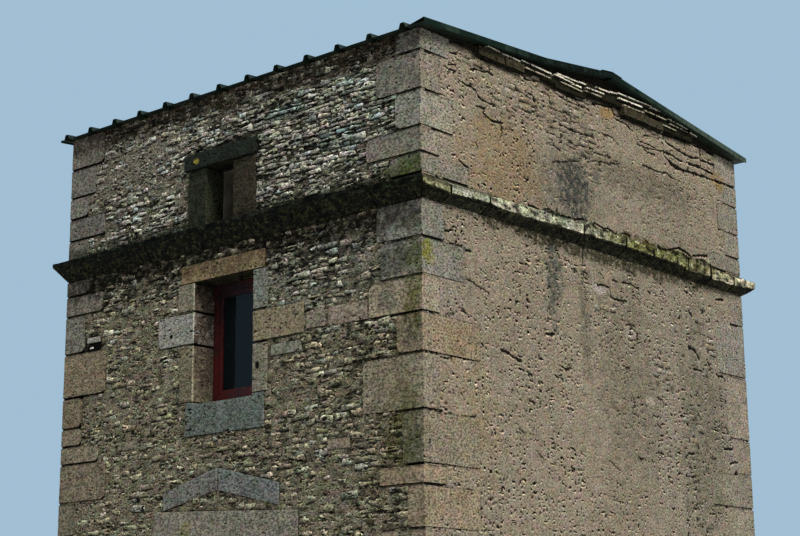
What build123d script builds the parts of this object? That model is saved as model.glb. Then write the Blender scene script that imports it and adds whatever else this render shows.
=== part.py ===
from build123d import *
import math
import os

# Square stone dovecote: rubble walls in two stages, a mitred string course between them,
# a flight hole over a small window over a door, and a low gable roof of ribbed sheets.
# The origin is on the ground at the centre of the plan. X runs along the front,
# the front wall faces -Y and the right-hand gable faces +X.

# Walls. The body's size is taken over the faces of the dressed stones, and the rubble
# is built to a bed a little behind them
body_width = 4100
body_depth = 4600
wall_thickness = 600
front_setback = 24
side_setback = 12
string_top = 5046
string_height = 190
string_fascia = 52
string_projection = 100
string_tail = 300

# Roof lines, given at the underside of the sheets over the walls' outer faces
front_eaves_height = 6180
back_eaves_height = 6170
ridge_height = 6412
ridge_y = 130
sag_height = 6280
sag_y = -840
eaves_overhang = 60
verge_overhang = 95

# Ribbed sheets and their flashings
sheet_thickness = 1
rib_pitch = 333
rib_height = 42
rib_top_width = 34
rib_foot_width = 68
rib_corner_inset = 120
sheet_lap = 150
ridge_gap = 30
cap_leg = 150
flashing_thickness = 1.2
flashing_clearance = 0.3
verge_leg_below = 14
verge_toe = 18
verge_rise = {"left": 4, "right": 30}
verge_flange = {"left": 42, "right": 176}

# Roof timbers
purlin_width = 90
purlin_depth = 150
purlin_bearing = 250
back_purlin_y = 1250
plate_width = 110
plate_depth = 75
plate_setback = 240

# Floors
floor_level = 150
first_floor_level = 2850
loft_floor_level = 5000
board_thickness = 25
joist_width = 75
joist_depth = 175
joist_count = 7
joist_bearing = 120
board_clearance = 0.3

# Window, with its dressed stones set into the front face
window_left = -373
window_right = 305
window_bottom = 3622
window_top = 4603
window_recess = 218
surround_depth = 300
window_lintel_left = -545
window_lintel_right = 430
window_lintel_height = 158
window_sill_left = -460
window_sill_right = 440
window_sill_height = 280
sill_weathering = 18
window_jamb_courses_left = [(0, -543), (469, -812), (742, -574), (981, 0)]
window_jamb_courses_right = [(0, 470), (392, 860), (651, 466), (981, 0)]

# Window joinery
joinery_clearance = 0.5
frame_width = 62
frame_depth = 70
casement_width = 54
casement_depth = 45
casement_setback = 8
glass_thickness = 4
glazing_rebate = 10
glazing_rebate_depth = 14

# Flight hole
flight_left = -258
flight_right = 55
flight_height = 512
flight_jamb_left = -481
flight_jamb_right = 316
flight_lintel_left = -518
flight_lintel_right = 330
flight_lintel_height = 142
flight_lintel_projection = 25
flight_stone_depth = 200

# Doorway
door_left = -500
door_right = 500
door_bottom = 150
door_top = 2400
door_jamb_width = 230
door_lintel_left = -784
door_lintel_right = 812
door_lintel_height = 300
door_lintel_skew = 88
door_lintel_fall = 60
door_recess = 240
relieving_apex_x = -69
relieving_apex_height = 378
relieving_left_foot = -680
relieving_right_foot = 603
relieving_foot_height = 92
relieving_thickness = 156
threshold_nosing = 40

# Door joinery
door_frame_width = 70
door_frame_depth = 90
door_leaf_thickness = 32
door_leaf_gap = 4
plank_count = 6
plank_groove = 6
ledge_height = 130
ledge_thickness = 25
ledge_inset = 25
ledge_heights = [220, 1050, 1850]
strap_length = 640
strap_height = 45
strap_thickness = 6
strap_heights = [350, 1850]
strap_tip_radius = 15
hinge_knuckle_radius = 11
door_latch_radius = 42
door_latch_bar = 8
door_latch_height = 1150

# Flat slabs left in the head of each gable wall, in a run each side of the ridge. Each slab
# has its share of the run, the depth of its top below the roof, and its thickness
ledge_projection = 60
ledge_tail = 180
ledge_joint = 8
ledge_front_end_gap = 60
ledge_front_ridge_gap = 314
ledge_back_end_gap = 138
ledge_back_ridge_gap = 150
ledge_front_slabs = [(0.39, 16, 60), (0.30, 50, 54), (0.31, 80, 60)]
ledge_back_slabs = [(0.37, 92, 64), (0.28, 52, 58), (0.35, 30, 56)]

half_width = body_width / 2
half_depth = body_depth / 2
bed_half_width = half_width - side_setback
bed_half_depth = half_depth - front_setback
inner_half_width = half_width - wall_thickness
inner_half_depth = half_depth - wall_thickness
string_bottom = string_top - string_height
front_plane = Plane.XZ.offset(half_depth)

# The roof's underside in section, from front eaves over the sag and the ridge to back eaves
front_pitch = (sag_height - front_eaves_height) / (sag_y + half_depth)
upper_pitch = (ridge_height - sag_height) / (ridge_y - sag_y)
back_pitch = (back_eaves_height - ridge_height) / (half_depth - ridge_y)


def roof_underside(y):
    if y < sag_y:
        return sag_height + front_pitch * (y - sag_y)
    if y < ridge_y:
        return sag_height + upper_pitch * (y - sag_y)
    return ridge_height + back_pitch * (y - ridge_y)


def roof_line(start, end):
    corners = [y for y in (sag_y, ridge_y) if start < y < end]
    return [(y, roof_underside(y)) for y in [start] + corners + [end]]


def outline(*points):
    Polygon(*points, align=None)


def rectangle(left, right, bottom, top):
    outline((left, bottom), (right, bottom), (right, top), (left, top))


def box(x, y, z):
    block = Box(x[1] - x[0], y[1] - y[0], z[1] - z[0], mode=Mode.PRIVATE)
    return Pos(sum(x) / 2, sum(y) / 2, sum(z) / 2) * block


def jamb_stones(opening_edge, bottom, courses):
    for (start, outer), (end, _) in zip(courses, courses[1:]):
        left, right = sorted((opening_edge, outer))
        rectangle(left, right, bottom + start, bottom + end)


def save(node, name):
    node.part.label = name
    export_step(node.part, f"parts/{name}.step")


os.makedirs("parts", exist_ok=True)

# Outlines of the dressed stones in the front face, each used for the stone and its bed
with BuildSketch() as window_lintel_outline:
    rectangle(window_lintel_left, window_lintel_right, window_top, window_top + window_lintel_height)

with BuildSketch() as window_sill_outline:
    rectangle(window_sill_left, window_sill_right, window_bottom - window_sill_height, window_bottom)

with BuildSketch() as window_left_jamb_outline:
    jamb_stones(window_left, window_bottom, window_jamb_courses_left)

with BuildSketch() as window_right_jamb_outline:
    jamb_stones(window_right, window_bottom, window_jamb_courses_right)

flight_top = string_top + flight_height
with BuildSketch() as flight_left_jamb_outline:
    rectangle(flight_jamb_left, flight_left, string_top, flight_top)

with BuildSketch() as flight_right_jamb_outline:
    rectangle(flight_right, flight_jamb_right, string_top, flight_top)

flight_lintel_top = flight_top + flight_lintel_height
with BuildSketch() as flight_lintel_outline:
    rectangle(flight_lintel_left, flight_lintel_right, flight_top, flight_lintel_top)

door_lintel_top = door_top + door_lintel_height
with BuildSketch() as door_lintel_outline:
    outline(
        (door_lintel_left - door_lintel_skew, door_top),
        (door_lintel_right, door_top),
        (door_lintel_right, door_lintel_top - door_lintel_fall),
        (door_lintel_left, door_lintel_top),
    )

with BuildSketch() as door_left_jamb_outline:
    rectangle(door_left - door_jamb_width, door_left, 0, door_top)

with BuildSketch() as door_right_jamb_outline:
    rectangle(door_right, door_right + door_jamb_width, 0, door_top)


def lintel_top_at(x):
    share = (x - door_lintel_left) / (door_lintel_right - door_lintel_left)
    return door_lintel_top - door_lintel_fall * share


# Two inclined stones lean together over the lintel and keep the wall's weight off it
relieving_apex = door_lintel_top + relieving_apex_height
relieving_inner_apex = relieving_apex - relieving_thickness
left_foot_bottom = lintel_top_at(relieving_left_foot)
right_foot_bottom = lintel_top_at(relieving_right_foot)
left_inner_foot = relieving_left_foot + relieving_foot_height
right_inner_foot = relieving_right_foot - relieving_foot_height
with BuildSketch() as relieving_left_outline:
    outline(
        (relieving_left_foot, left_foot_bottom),
        (left_inner_foot, lintel_top_at(left_inner_foot)),
        (relieving_apex_x, relieving_inner_apex),
        (relieving_apex_x, relieving_apex),
        (relieving_left_foot, left_foot_bottom + relieving_foot_height),
    )

with BuildSketch() as relieving_right_outline:
    outline(
        (right_inner_foot, lintel_top_at(right_inner_foot)),
        (relieving_right_foot, right_foot_bottom),
        (relieving_right_foot, right_foot_bottom + relieving_foot_height),
        (relieving_apex_x, relieving_apex),
        (relieving_apex_x, relieving_inner_apex),
    )


# Floors and roof timbers, whose beds are cut out of the walls that carry them
def joist_rows(floor):
    top = floor - board_thickness
    clear = 2 * inner_half_depth
    first = -inner_half_depth + clear / joist_count / 2
    reach = inner_half_width + joist_bearing
    for row in range(joist_count):
        y = first + row * clear / joist_count
        sides = (y - joist_width / 2, y + joist_width / 2)
        yield box((-reach, reach), sides, (top - joist_depth, top))


first_floor_joist_solids = list(joist_rows(first_floor_level))
loft_floor_joist_solids = list(joist_rows(loft_floor_level))


def timber_under_roof(y, width, depth, length):
    low = roof_underside(y) - depth
    start, end = y - width / 2, y + width / 2
    with BuildPart() as timber:
        with BuildSketch(Plane.YZ.offset(-length / 2)):
            outline((end, low), (start, low), *roof_line(start, end))
        extrude(amount=length)
    return timber.part


purlin_length = body_width - 2 * wall_thickness + 2 * purlin_bearing
purlin_places = (sag_y, ridge_y, back_purlin_y)
purlin_solids = [timber_under_roof(y, purlin_width, purlin_depth, purlin_length) for y in purlin_places]
plate_y = half_depth - plate_setback - plate_width / 2
plate_length = body_width - 2 * (wall_thickness - purlin_bearing)
plate_solids = [timber_under_roof(y, plate_width, plate_depth, plate_length) for y in (-plate_y, plate_y)]

# Bed of the string course, which tails into the walls all round
string_bed_outer = box((-half_width, half_width), (-half_depth, half_depth), (string_bottom, string_top))
tail_half_width = half_width - string_tail
tail_half_depth = half_depth - string_tail
string_bed_inner = box(
    (-tail_half_width, tail_half_width), (-tail_half_depth, tail_half_depth), (string_bottom, string_top)
)
string_bed = string_bed_outer - string_bed_inner


def ledge_run(start, end, slabs):
    length = end - start
    for share, drop, thickness in slabs:
        finish = start + share * length
        top = min(roof_underside(start), roof_underside(finish)) - drop
        yield (start, finish - ledge_joint), (top - thickness, top)
        start = finish


def ledge_slabs(side):
    edges = sorted((side * (half_width - ledge_tail), side * (half_width + ledge_projection)))
    front_run = (ledge_front_end_gap - inner_half_depth, ridge_y - ledge_front_ridge_gap)
    back_run = (ridge_y - ledge_back_ridge_gap, inner_half_depth - ledge_back_end_gap)
    for run, slabs in ((front_run, ledge_front_slabs), (back_run, ledge_back_slabs)):
        for reach, height in ledge_run(*run, slabs):
            yield box(edges, reach, height)


# Lower stage of the walls
with BuildPart() as front_wall_lower:
    with BuildSketch(Plane.XZ.offset(inner_half_depth)):
        rectangle(-bed_half_width, bed_half_width, 0, string_top)
        with BuildSketch(mode=Mode.SUBTRACT):
            rectangle(door_left, door_right, 0, door_top)
            rectangle(window_left, window_right, window_bottom, window_top)
    extrude(amount=wall_thickness - front_setback)
    with BuildSketch(front_plane):
        for stone in (
            window_lintel_outline,
            window_sill_outline,
            window_left_jamb_outline,
            window_right_jamb_outline,
            door_lintel_outline,
            door_left_jamb_outline,
            door_right_jamb_outline,
            relieving_left_outline,
            relieving_right_outline,
        ):
            add(stone.sketch)
    extrude(amount=-surround_depth, mode=Mode.SUBTRACT)
    add(string_bed, mode=Mode.SUBTRACT)
save(front_wall_lower, "front_wall_lower")

with BuildPart() as back_wall_lower:
    with BuildSketch(Plane.XZ.offset(-bed_half_depth)):
        rectangle(-bed_half_width, bed_half_width, 0, string_top)
    extrude(amount=wall_thickness - front_setback)
    add(string_bed, mode=Mode.SUBTRACT)
save(back_wall_lower, "back_wall_lower")

for side, side_name in ((-1, "left"), (1, "right")):
    with BuildPart() as side_wall_lower:
        with BuildSketch(Plane.YZ.offset(side * bed_half_width)):
            rectangle(-inner_half_depth, inner_half_depth, 0, string_top)
        extrude(amount=-side * (wall_thickness - side_setback))
        add(string_bed, mode=Mode.SUBTRACT)
        add(first_floor_joist_solids, mode=Mode.SUBTRACT)
        add(loft_floor_joist_solids, mode=Mode.SUBTRACT)
    save(side_wall_lower, f"{side_name}_wall_lower")

# Upper stage of the walls, up to the underside of the roof sheets
with BuildPart() as front_wall_upper:
    with BuildSketch(Plane.YZ.offset(-bed_half_width)):
        outline(
            (-inner_half_depth, string_top),
            (-bed_half_depth, string_top),
            *roof_line(-bed_half_depth, -inner_half_depth),
        )
    extrude(amount=2 * bed_half_width)
    with BuildSketch(Plane.XZ.offset(inner_half_depth)):
        rectangle(flight_left, flight_right, string_top, flight_top)
    extrude(amount=wall_thickness, mode=Mode.SUBTRACT)
    with BuildSketch(front_plane):
        add(flight_left_jamb_outline.sketch)
        add(flight_right_jamb_outline.sketch)
        add(flight_lintel_outline.sketch)
    extrude(amount=-flight_stone_depth, mode=Mode.SUBTRACT)
    add(plate_solids, mode=Mode.SUBTRACT)
save(front_wall_upper, "front_wall_upper")

with BuildPart() as back_wall_upper:
    with BuildSketch(Plane.YZ.offset(-bed_half_width)):
        outline(
            (bed_half_depth, string_top),
            (inner_half_depth, string_top),
            *roof_line(inner_half_depth, bed_half_depth),
        )
    extrude(amount=2 * bed_half_width)
    add(plate_solids, mode=Mode.SUBTRACT)
save(back_wall_upper, "back_wall_upper")

for side, side_name in ((-1, "left"), (1, "right")):
    slabs = list(ledge_slabs(side))
    with BuildPart() as gable_wall:
        with BuildSketch(Plane.YZ.offset(side * bed_half_width)):
            outline(
                (inner_half_depth, string_top),
                (-inner_half_depth, string_top),
                *roof_line(-inner_half_depth, inner_half_depth),
            )
        extrude(amount=-side * (wall_thickness - side_setback))
        add(purlin_solids, mode=Mode.SUBTRACT)
        add(slabs, mode=Mode.SUBTRACT)
    save(gable_wall, f"{side_name}_gable_wall")

    with BuildPart() as gable_ledge:
        add(slabs)
    save(gable_ledge, f"{side_name}_gable_ledge")

# String course: one profile turned round the walls and cut on the mitres
ring_half_width = half_width + string_projection
ring_half_depth = half_depth + string_projection
with BuildPart() as string_ring:
    with BuildSketch(Plane.XY.offset(string_bottom)):
        Rectangle(body_width, body_depth)
    with BuildSketch(Plane.XY.offset(string_top - string_fascia)):
        Rectangle(2 * ring_half_width, 2 * ring_half_depth)
    loft()
    with BuildSketch(Plane.XY.offset(string_top - string_fascia)):
        Rectangle(2 * ring_half_width, 2 * ring_half_depth)
    extrude(amount=string_fascia)
    add(string_bed_inner, mode=Mode.SUBTRACT)

for name, sign in (("front", -1), ("back", 1)):
    with BuildPart() as string_course:
        with BuildSketch(Plane.XY.offset(string_bottom)):
            outline(
                (-ring_half_width, sign * ring_half_depth),
                (ring_half_width, sign * ring_half_depth),
                (tail_half_width, sign * tail_half_depth),
                (-tail_half_width, sign * tail_half_depth),
            )
        extrude(amount=string_height)
        add(string_ring.part, mode=Mode.INTERSECT)
    save(string_course, f"string_course_{name}")

for name, sign in (("left", -1), ("right", 1)):
    with BuildPart() as string_course:
        with BuildSketch(Plane.XY.offset(string_bottom)):
            outline(
                (sign * ring_half_width, -ring_half_depth),
                (sign * ring_half_width, ring_half_depth),
                (sign * tail_half_width, tail_half_depth),
                (sign * tail_half_width, -tail_half_depth),
            )
        extrude(amount=string_height)
        add(string_ring.part, mode=Mode.INTERSECT)
    save(string_course, f"string_course_{name}")


# Dressed stones round the window
def dressed_stone(name, stone, depth, proud=0):
    with BuildPart() as block:
        with BuildSketch(front_plane.offset(proud)):
            add(stone.sketch)
        extrude(amount=-(depth + proud))
    save(block, name)


dressed_stone("window_lintel", window_lintel_outline, surround_depth)
dressed_stone("window_jamb_left", window_left_jamb_outline, surround_depth)
dressed_stone("window_jamb_right", window_right_jamb_outline, surround_depth)

with BuildPart() as window_sill:
    with BuildSketch(front_plane):
        add(window_sill_outline.sketch)
    extrude(amount=-surround_depth)
    with BuildSketch(Plane.YZ.offset(window_left)):
        outline(
            (-half_depth, window_bottom),
            (-half_depth, window_bottom - sill_weathering),
            (-half_depth + window_recess, window_bottom),
        )
    extrude(amount=window_right - window_left, mode=Mode.SUBTRACT)
save(window_sill, "window_sill")

# Window joinery: an outer frame, one casement and its pane
frame_plane = front_plane.offset(-window_recess)
frame_left = window_left + joinery_clearance
frame_right = window_right - joinery_clearance
frame_top = window_top - joinery_clearance
with BuildPart() as window_frame:
    with BuildSketch(frame_plane):
        rectangle(frame_left, frame_right, window_bottom, frame_top)
        with BuildSketch(mode=Mode.SUBTRACT):
            rectangle(
                frame_left + frame_width,
                frame_right - frame_width,
                window_bottom + frame_width,
                frame_top - frame_width,
            )
    extrude(amount=-frame_depth)
save(window_frame, "window_frame")

casement_left = frame_left + frame_width + joinery_clearance
casement_right = frame_right - frame_width - joinery_clearance
casement_bottom = window_bottom + frame_width + joinery_clearance
casement_top = frame_top - frame_width - joinery_clearance
casement_plane = frame_plane.offset(-casement_setback)
with BuildPart() as window_casement:
    with BuildSketch(casement_plane):
        rectangle(casement_left, casement_right, casement_bottom, casement_top)
        with BuildSketch(mode=Mode.SUBTRACT):
            rectangle(
                casement_left + casement_width,
                casement_right - casement_width,
                casement_bottom + casement_width,
                casement_top - casement_width,
            )
    extrude(amount=-casement_depth)
    glass_edge = casement_width - glazing_rebate
    with BuildSketch(casement_plane):
        rectangle(
            casement_left + glass_edge,
            casement_right - glass_edge,
            casement_bottom + glass_edge,
            casement_top - glass_edge,
        )
    extrude(amount=-glazing_rebate_depth, mode=Mode.SUBTRACT)
save(window_casement, "window_casement")

with BuildPart() as window_glass:
    with BuildSketch(casement_plane.offset(-glazing_rebate_depth)):
        rectangle(
            casement_left + glass_edge + joinery_clearance,
            casement_right - glass_edge - joinery_clearance,
            casement_bottom + glass_edge + joinery_clearance,
            casement_top - glass_edge - joinery_clearance,
        )
    extrude(amount=glass_thickness)
save(window_glass, "window_glass")

# Flight hole for the birds, standing on the string course
dressed_stone("flight_hole_jamb_left", flight_left_jamb_outline, flight_stone_depth)
dressed_stone("flight_hole_jamb_right", flight_right_jamb_outline, flight_stone_depth)
dressed_stone("flight_hole_lintel", flight_lintel_outline, flight_stone_depth, flight_lintel_projection)

# Doorway stones
dressed_stone("door_lintel", door_lintel_outline, surround_depth)
dressed_stone("door_relieving_stone_left", relieving_left_outline, surround_depth)
dressed_stone("door_relieving_stone_right", relieving_right_outline, surround_depth)
dressed_stone("door_jamb_left", door_left_jamb_outline, surround_depth)
dressed_stone("door_jamb_right", door_right_jamb_outline, surround_depth)

with BuildPart() as door_threshold:
    with BuildSketch(front_plane.offset(threshold_nosing)):
        rectangle(door_left, door_right, 0, door_bottom)
    extrude(amount=-(wall_thickness + threshold_nosing))
save(door_threshold, "door_threshold")

# Door joinery
door_plane = front_plane.offset(-door_recess)
with BuildPart() as door_frame:
    with BuildSketch(door_plane):
        rectangle(
            door_left + joinery_clearance, door_right - joinery_clearance, door_bottom, door_top - joinery_clearance
        )
        with BuildSketch(mode=Mode.SUBTRACT):
            rectangle(
                door_left + door_frame_width,
                door_right - door_frame_width,
                door_bottom,
                door_top - door_frame_width,
            )
    extrude(amount=-door_frame_depth)
save(door_frame, "door_frame")

leaf_left = door_left + door_frame_width + door_leaf_gap
leaf_right = door_right - door_frame_width - door_leaf_gap
leaf_bottom = door_bottom + joinery_clearance
leaf_top = door_top - door_frame_width - door_leaf_gap
plank_width = (leaf_right - leaf_left) / plank_count
with BuildPart() as door_leaf:
    with BuildSketch(door_plane):
        rectangle(leaf_left, leaf_right, leaf_bottom, leaf_top)
    extrude(amount=-door_leaf_thickness)
    with BuildSketch(Plane.XY.offset(leaf_bottom)):
        for joint in range(1, plank_count):
            x = leaf_left + joint * plank_width
            y = -half_depth + door_recess
            outline((x - plank_groove, y), (x + plank_groove, y), (x, y + plank_groove))
    extrude(amount=leaf_top - leaf_bottom, mode=Mode.SUBTRACT)
    with BuildSketch(door_plane.offset(-door_leaf_thickness)):
        for height in ledge_heights:
            bottom = leaf_bottom + height
            rectangle(leaf_left + ledge_inset, leaf_right - ledge_inset, bottom, bottom + ledge_height)
    extrude(amount=-ledge_thickness)
save(door_leaf, "door_leaf")

latch_x = leaf_right - plank_width / 2
latch_z = leaf_bottom + door_latch_height
with BuildPart() as door_ironwork:
    with BuildSketch(door_plane):
        for height in strap_heights:
            middle = leaf_bottom + height
            outline(
                (leaf_left, middle - strap_height / 2),
                (leaf_left + strap_length, middle - strap_tip_radius / 2),
                (leaf_left + strap_length, middle + strap_tip_radius / 2),
                (leaf_left, middle + strap_height / 2),
            )
            with Locations((leaf_left + strap_length, middle)):
                Circle(strap_tip_radius)
    extrude(amount=strap_thickness)
    for height in strap_heights:
        middle = leaf_bottom + height
        with BuildSketch(Plane.XY.offset(middle - strap_height / 2)):
            with Locations((leaf_left, -half_depth + door_recess - hinge_knuckle_radius)):
                Circle(hinge_knuckle_radius)
        extrude(amount=strap_height)
    with BuildSketch(door_plane):
        with Locations((latch_x, latch_z)):
            Circle(door_latch_radius)
            Circle(door_latch_radius - door_latch_bar, mode=Mode.SUBTRACT)
        with Locations((latch_x, latch_z + door_latch_radius)):
            Circle(door_latch_bar * 2)
    extrude(amount=door_latch_bar)
save(door_ironwork, "door_ironwork")

# Floors
with BuildPart() as ground_floor:
    with BuildSketch():
        Rectangle(2 * inner_half_width, 2 * inner_half_depth)
    extrude(amount=floor_level)
save(ground_floor, "ground_floor")

for name, level, joists in (
    ("first_floor", first_floor_level, first_floor_joist_solids),
    ("loft_floor", loft_floor_level, loft_floor_joist_solids),
):
    with BuildPart() as floor_joists:
        add(joists)
    save(floor_joists, f"{name}_joists")

    with BuildPart() as floor_boards:
        with BuildSketch(Plane.XY.offset(level - board_thickness)):
            Rectangle(2 * (inner_half_width - board_clearance), 2 * (inner_half_depth - board_clearance))
        extrude(amount=board_thickness)
    save(floor_boards, f"{name}_boards")

# Roof timbers
with BuildPart() as roof_purlins:
    add(purlin_solids)
save(roof_purlins, "roof_purlins")

with BuildPart() as wall_plates:
    add(plate_solids)
save(wall_plates, "wall_plates")

# Ribbed sheets: one pressed profile, run down each slope
sheet_half_width = half_width + verge_overhang
front_edge = -half_depth - eaves_overhang
back_edge = half_depth + eaves_overhang


# Ribs are set out from the right-hand verge, as many as the sheets have room for
rib_room = half_width - rib_corner_inset + sheet_half_width - rib_foot_width / 2
rib_count = int(rib_room // rib_pitch) + 1


def pressed_profile():
    points = [(-sheet_half_width, 0)]
    for rib in reversed(range(rib_count)):
        x = half_width - rib_corner_inset - rib * rib_pitch
        points += [
            (x - rib_foot_width / 2, 0),
            (x - rib_top_width / 2, rib_height),
            (x + rib_top_width / 2, rib_height),
            (x + rib_foot_width / 2, 0),
        ]
    points.append((sheet_half_width, 0))
    top = [(x, z + sheet_thickness) for x, z in reversed(points)]
    outline(*points, *top)


def square_to(line):
    (y0, z0), (y1, z1) = line[:2]
    return Plane((0, y0, z0), x_dir=(1, 0, 0), z_dir=(0, y0 - y1, z0 - z1))


def slope_sheet(name, line):
    with BuildPart() as sheets:
        with BuildLine(Plane.YZ) as run:
            Polyline(*line)
        with BuildSketch(square_to(line)):
            pressed_profile()
        sweep(path=run.wires()[0], transition=Transition.RIGHT)
    save(sheets, name)


# The upper sheets of the front slope lap over the lower ones at the sag
lap_lift = sheet_thickness * math.hypot(1, upper_pitch)
upper_run = [(y, z + lap_lift) for y, z in roof_line(sag_y - sheet_lap, ridge_y - ridge_gap)]
slope_sheet("front_lower_roof_sheets", roof_line(front_edge, sag_y))
slope_sheet("front_upper_roof_sheets", upper_run)
slope_sheet("back_roof_sheets", roof_line(ridge_y + ridge_gap, back_edge))

# Ridge cap: folded over the ridge and resting on the ribs of both slopes
rib_top = sheet_thickness + rib_height
front_rib_top = rib_top * math.hypot(1, upper_pitch) + lap_lift
back_rib_top = rib_top * math.hypot(1, back_pitch)
cap_front_y = ridge_y - cap_leg
cap_back_y = ridge_y + cap_leg
with BuildPart() as ridge_cap:
    with BuildSketch(Plane.YZ.offset(-sheet_half_width)):
        with BuildLine() as cap_fold:
            Polyline(
                (cap_front_y, roof_underside(cap_front_y) + front_rib_top),
                (ridge_y, ridge_height + max(front_rib_top, back_rib_top)),
                (cap_back_y, roof_underside(cap_back_y) + back_rib_top),
            )
            offset(amount=flashing_thickness, side=Side.LEFT)
        make_face()
    extrude(amount=2 * sheet_half_width)
save(ridge_cap, "ridge_cap")

# Verge flashings: a toe on the pan, a sloped flange and a drip leg outside the sheets' edge,
# mitred over the sag and the ridge
verge_line = roof_line(front_edge, back_edge)
toe_seat = 2 * sheet_thickness + flashing_clearance
with BuildPart() as verge_flashings:
    for side_name, side in (("left", -1), ("right", 1)):
        verge_x = side * (sheet_half_width + flashing_clearance)
        toe_x = side * (sheet_half_width - verge_flange[side_name])
        with BuildLine(Plane.YZ) as verge_run:
            Polyline(*verge_line)
        with BuildSketch(square_to(verge_line)):
            with BuildLine():
                Polyline(
                    (toe_x, toe_seat),
                    (toe_x + side * verge_toe, toe_seat),
                    (verge_x, toe_seat + verge_rise[side_name]),
                    (verge_x, -verge_leg_below),
                )
                offset(amount=flashing_thickness, side=Side.LEFT if side > 0 else Side.RIGHT)
            make_face()
        sweep(path=verge_run.wires()[0], transition=Transition.RIGHT)
save(verge_flashings, "verge_flashings")
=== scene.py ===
import itertools
import math
import random
import bpy
import bmesh
from mathutils import Matrix, Vector, noise


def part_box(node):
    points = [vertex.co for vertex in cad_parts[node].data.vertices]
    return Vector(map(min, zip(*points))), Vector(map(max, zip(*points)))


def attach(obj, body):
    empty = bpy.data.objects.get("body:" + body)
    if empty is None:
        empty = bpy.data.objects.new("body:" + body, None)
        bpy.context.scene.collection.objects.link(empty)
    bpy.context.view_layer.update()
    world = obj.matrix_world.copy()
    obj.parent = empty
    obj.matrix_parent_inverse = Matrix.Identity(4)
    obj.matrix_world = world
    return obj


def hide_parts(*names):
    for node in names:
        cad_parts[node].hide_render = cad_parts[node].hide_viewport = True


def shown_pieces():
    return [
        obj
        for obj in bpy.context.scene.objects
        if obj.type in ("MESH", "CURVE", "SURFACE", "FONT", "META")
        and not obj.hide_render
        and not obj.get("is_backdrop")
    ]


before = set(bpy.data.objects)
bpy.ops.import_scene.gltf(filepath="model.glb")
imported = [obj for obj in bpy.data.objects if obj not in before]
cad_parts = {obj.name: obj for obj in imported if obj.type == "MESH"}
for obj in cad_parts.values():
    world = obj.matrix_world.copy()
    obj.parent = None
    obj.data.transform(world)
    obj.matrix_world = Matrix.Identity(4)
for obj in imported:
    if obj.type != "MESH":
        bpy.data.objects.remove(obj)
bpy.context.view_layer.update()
print("frame loaded with", len(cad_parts), "nodes")

# The walls. Every wall is worked in its own plane: X along it, Y into it, Z up, seen from outside
house = {
    "halfWidth": 2.05,
    "halfDepth": 2.3,
    "roofLine": [(-2.3, 6.18), (-0.84, 6.28), (0.13, 6.412), (2.3, 6.17)],
    "stringTop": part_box("string_course_front")[1][2],
    "stringBottom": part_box("string_course_front")[0][2],
    "fascia": 0.052, "projection": 0.1,
}
wallTurn = {"front": 0, "right": 90, "back": 180, "left": 270}
# A stage whose top is higher than this ends under the roof
gableFrom = 5.5
# Reaches beyond every end of the house
beyond = 9.0


def wallPlace(wall):
    out = house["halfDepth"] if wall in ("front", "back") else house["halfWidth"]
    return Matrix.Rotation(math.radians(wallTurn[wall]), 4, "Z") @ Matrix.Translation((0, -out, 0))


def wallHalf(wall):
    return house["halfWidth"] if wall in ("front", "back") else house["halfDepth"]


def roofUnder(y):
    line = house["roofLine"]
    for (y0, z0), (y1, z1) in zip(line, line[1:]):
        if y <= y1:
            return z0 + (z1 - z0) * (y - y0) / (y1 - y0)
    return line[-1][1]


def wallTop(wall, u):
    return roofUnder({"front": -house["halfDepth"], "back": house["halfDepth"], "right": u, "left": -u}[wall])


def softStep(low, high, value):
    t = min(1.0, max(0.0, (value - low) / (high - low)))
    return t * t * (3 - 2 * t)


# Height of a line of points over a place along the wall
def alongLine(points, u):
    for (u0, z0), (u1, z1) in zip(points, points[1:]):
        if u <= u1:
            return z0 + (z1 - z0) * min(1.0, max(0.0, (u - u0) / (u1 - u0)))
    return points[-1][1]


def ripple(x, y, z):
    return noise.noise(Vector((x, y, z)))


# Meshes carry a tint for each stone and the painted shade of a hollow joint or pit, darker the deeper it lies
def newShape():
    bm = bmesh.new()
    bm.verts.layers.float_color.new("tint")
    bm.verts.layers.float.new("hollowShade")
    return bm


def shapeLayers(bm):
    return bm.verts.layers.float_color["tint"], bm.verts.layers.float["hollowShade"]


def paintVerts(bm, verts, tint, hollowShade=None):
    tintLayer, hollowShadeLayer = shapeLayers(bm)
    for vert in verts:
        vert[tintLayer] = (tint[0], tint[1], tint[2], 1)
        if hollowShade is not None:
            vert[hollowShadeLayer] = hollowShade


def toMesh(bm, name):
    mesh = bpy.data.meshes.new(name)
    bm.to_mesh(mesh)
    bm.free()
    return mesh


# Adds the whole of one shape to another and returns its vertices there
def joinShape(bm, part):
    mesh = toMesh(part, "part")
    start = len(bm.verts)
    bm.from_mesh(mesh)
    bpy.data.meshes.remove(mesh)
    bm.verts.ensure_lookup_table()
    return bm.verts[start:]


def addShape(bm, part, tint, place=None):
    fresh = joinShape(bm, part)
    paintVerts(bm, fresh, tint, 0.0)
    if place is not None:
        bmesh.ops.transform(bm, matrix=place, verts=fresh)
    return fresh


def addObject(name, data):
    made = bpy.data.objects.new(name, data)
    bpy.context.scene.collection.objects.link(made)
    return made


def countTriangles(mesh):
    return sum(len(face.vertices) - 2 for face in mesh.polygons)


def finishPiece(name, bm, material, replaced=(), sharp=0.7, place=None):
    if place is not None:
        bmesh.ops.transform(bm, matrix=place, verts=bm.verts)
    mesh = toMesh(bm, name)
    mesh.polygons.foreach_set("use_smooth", [True] * len(mesh.polygons))
    mesh.set_sharp_from_angle(angle=sharp)
    mesh.materials.append(material)
    piece = addObject(name, mesh)
    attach(piece, "root")
    if replaced:
        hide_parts(*replaced)
    print("  ", name, countTriangles(mesh), "triangles")


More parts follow.
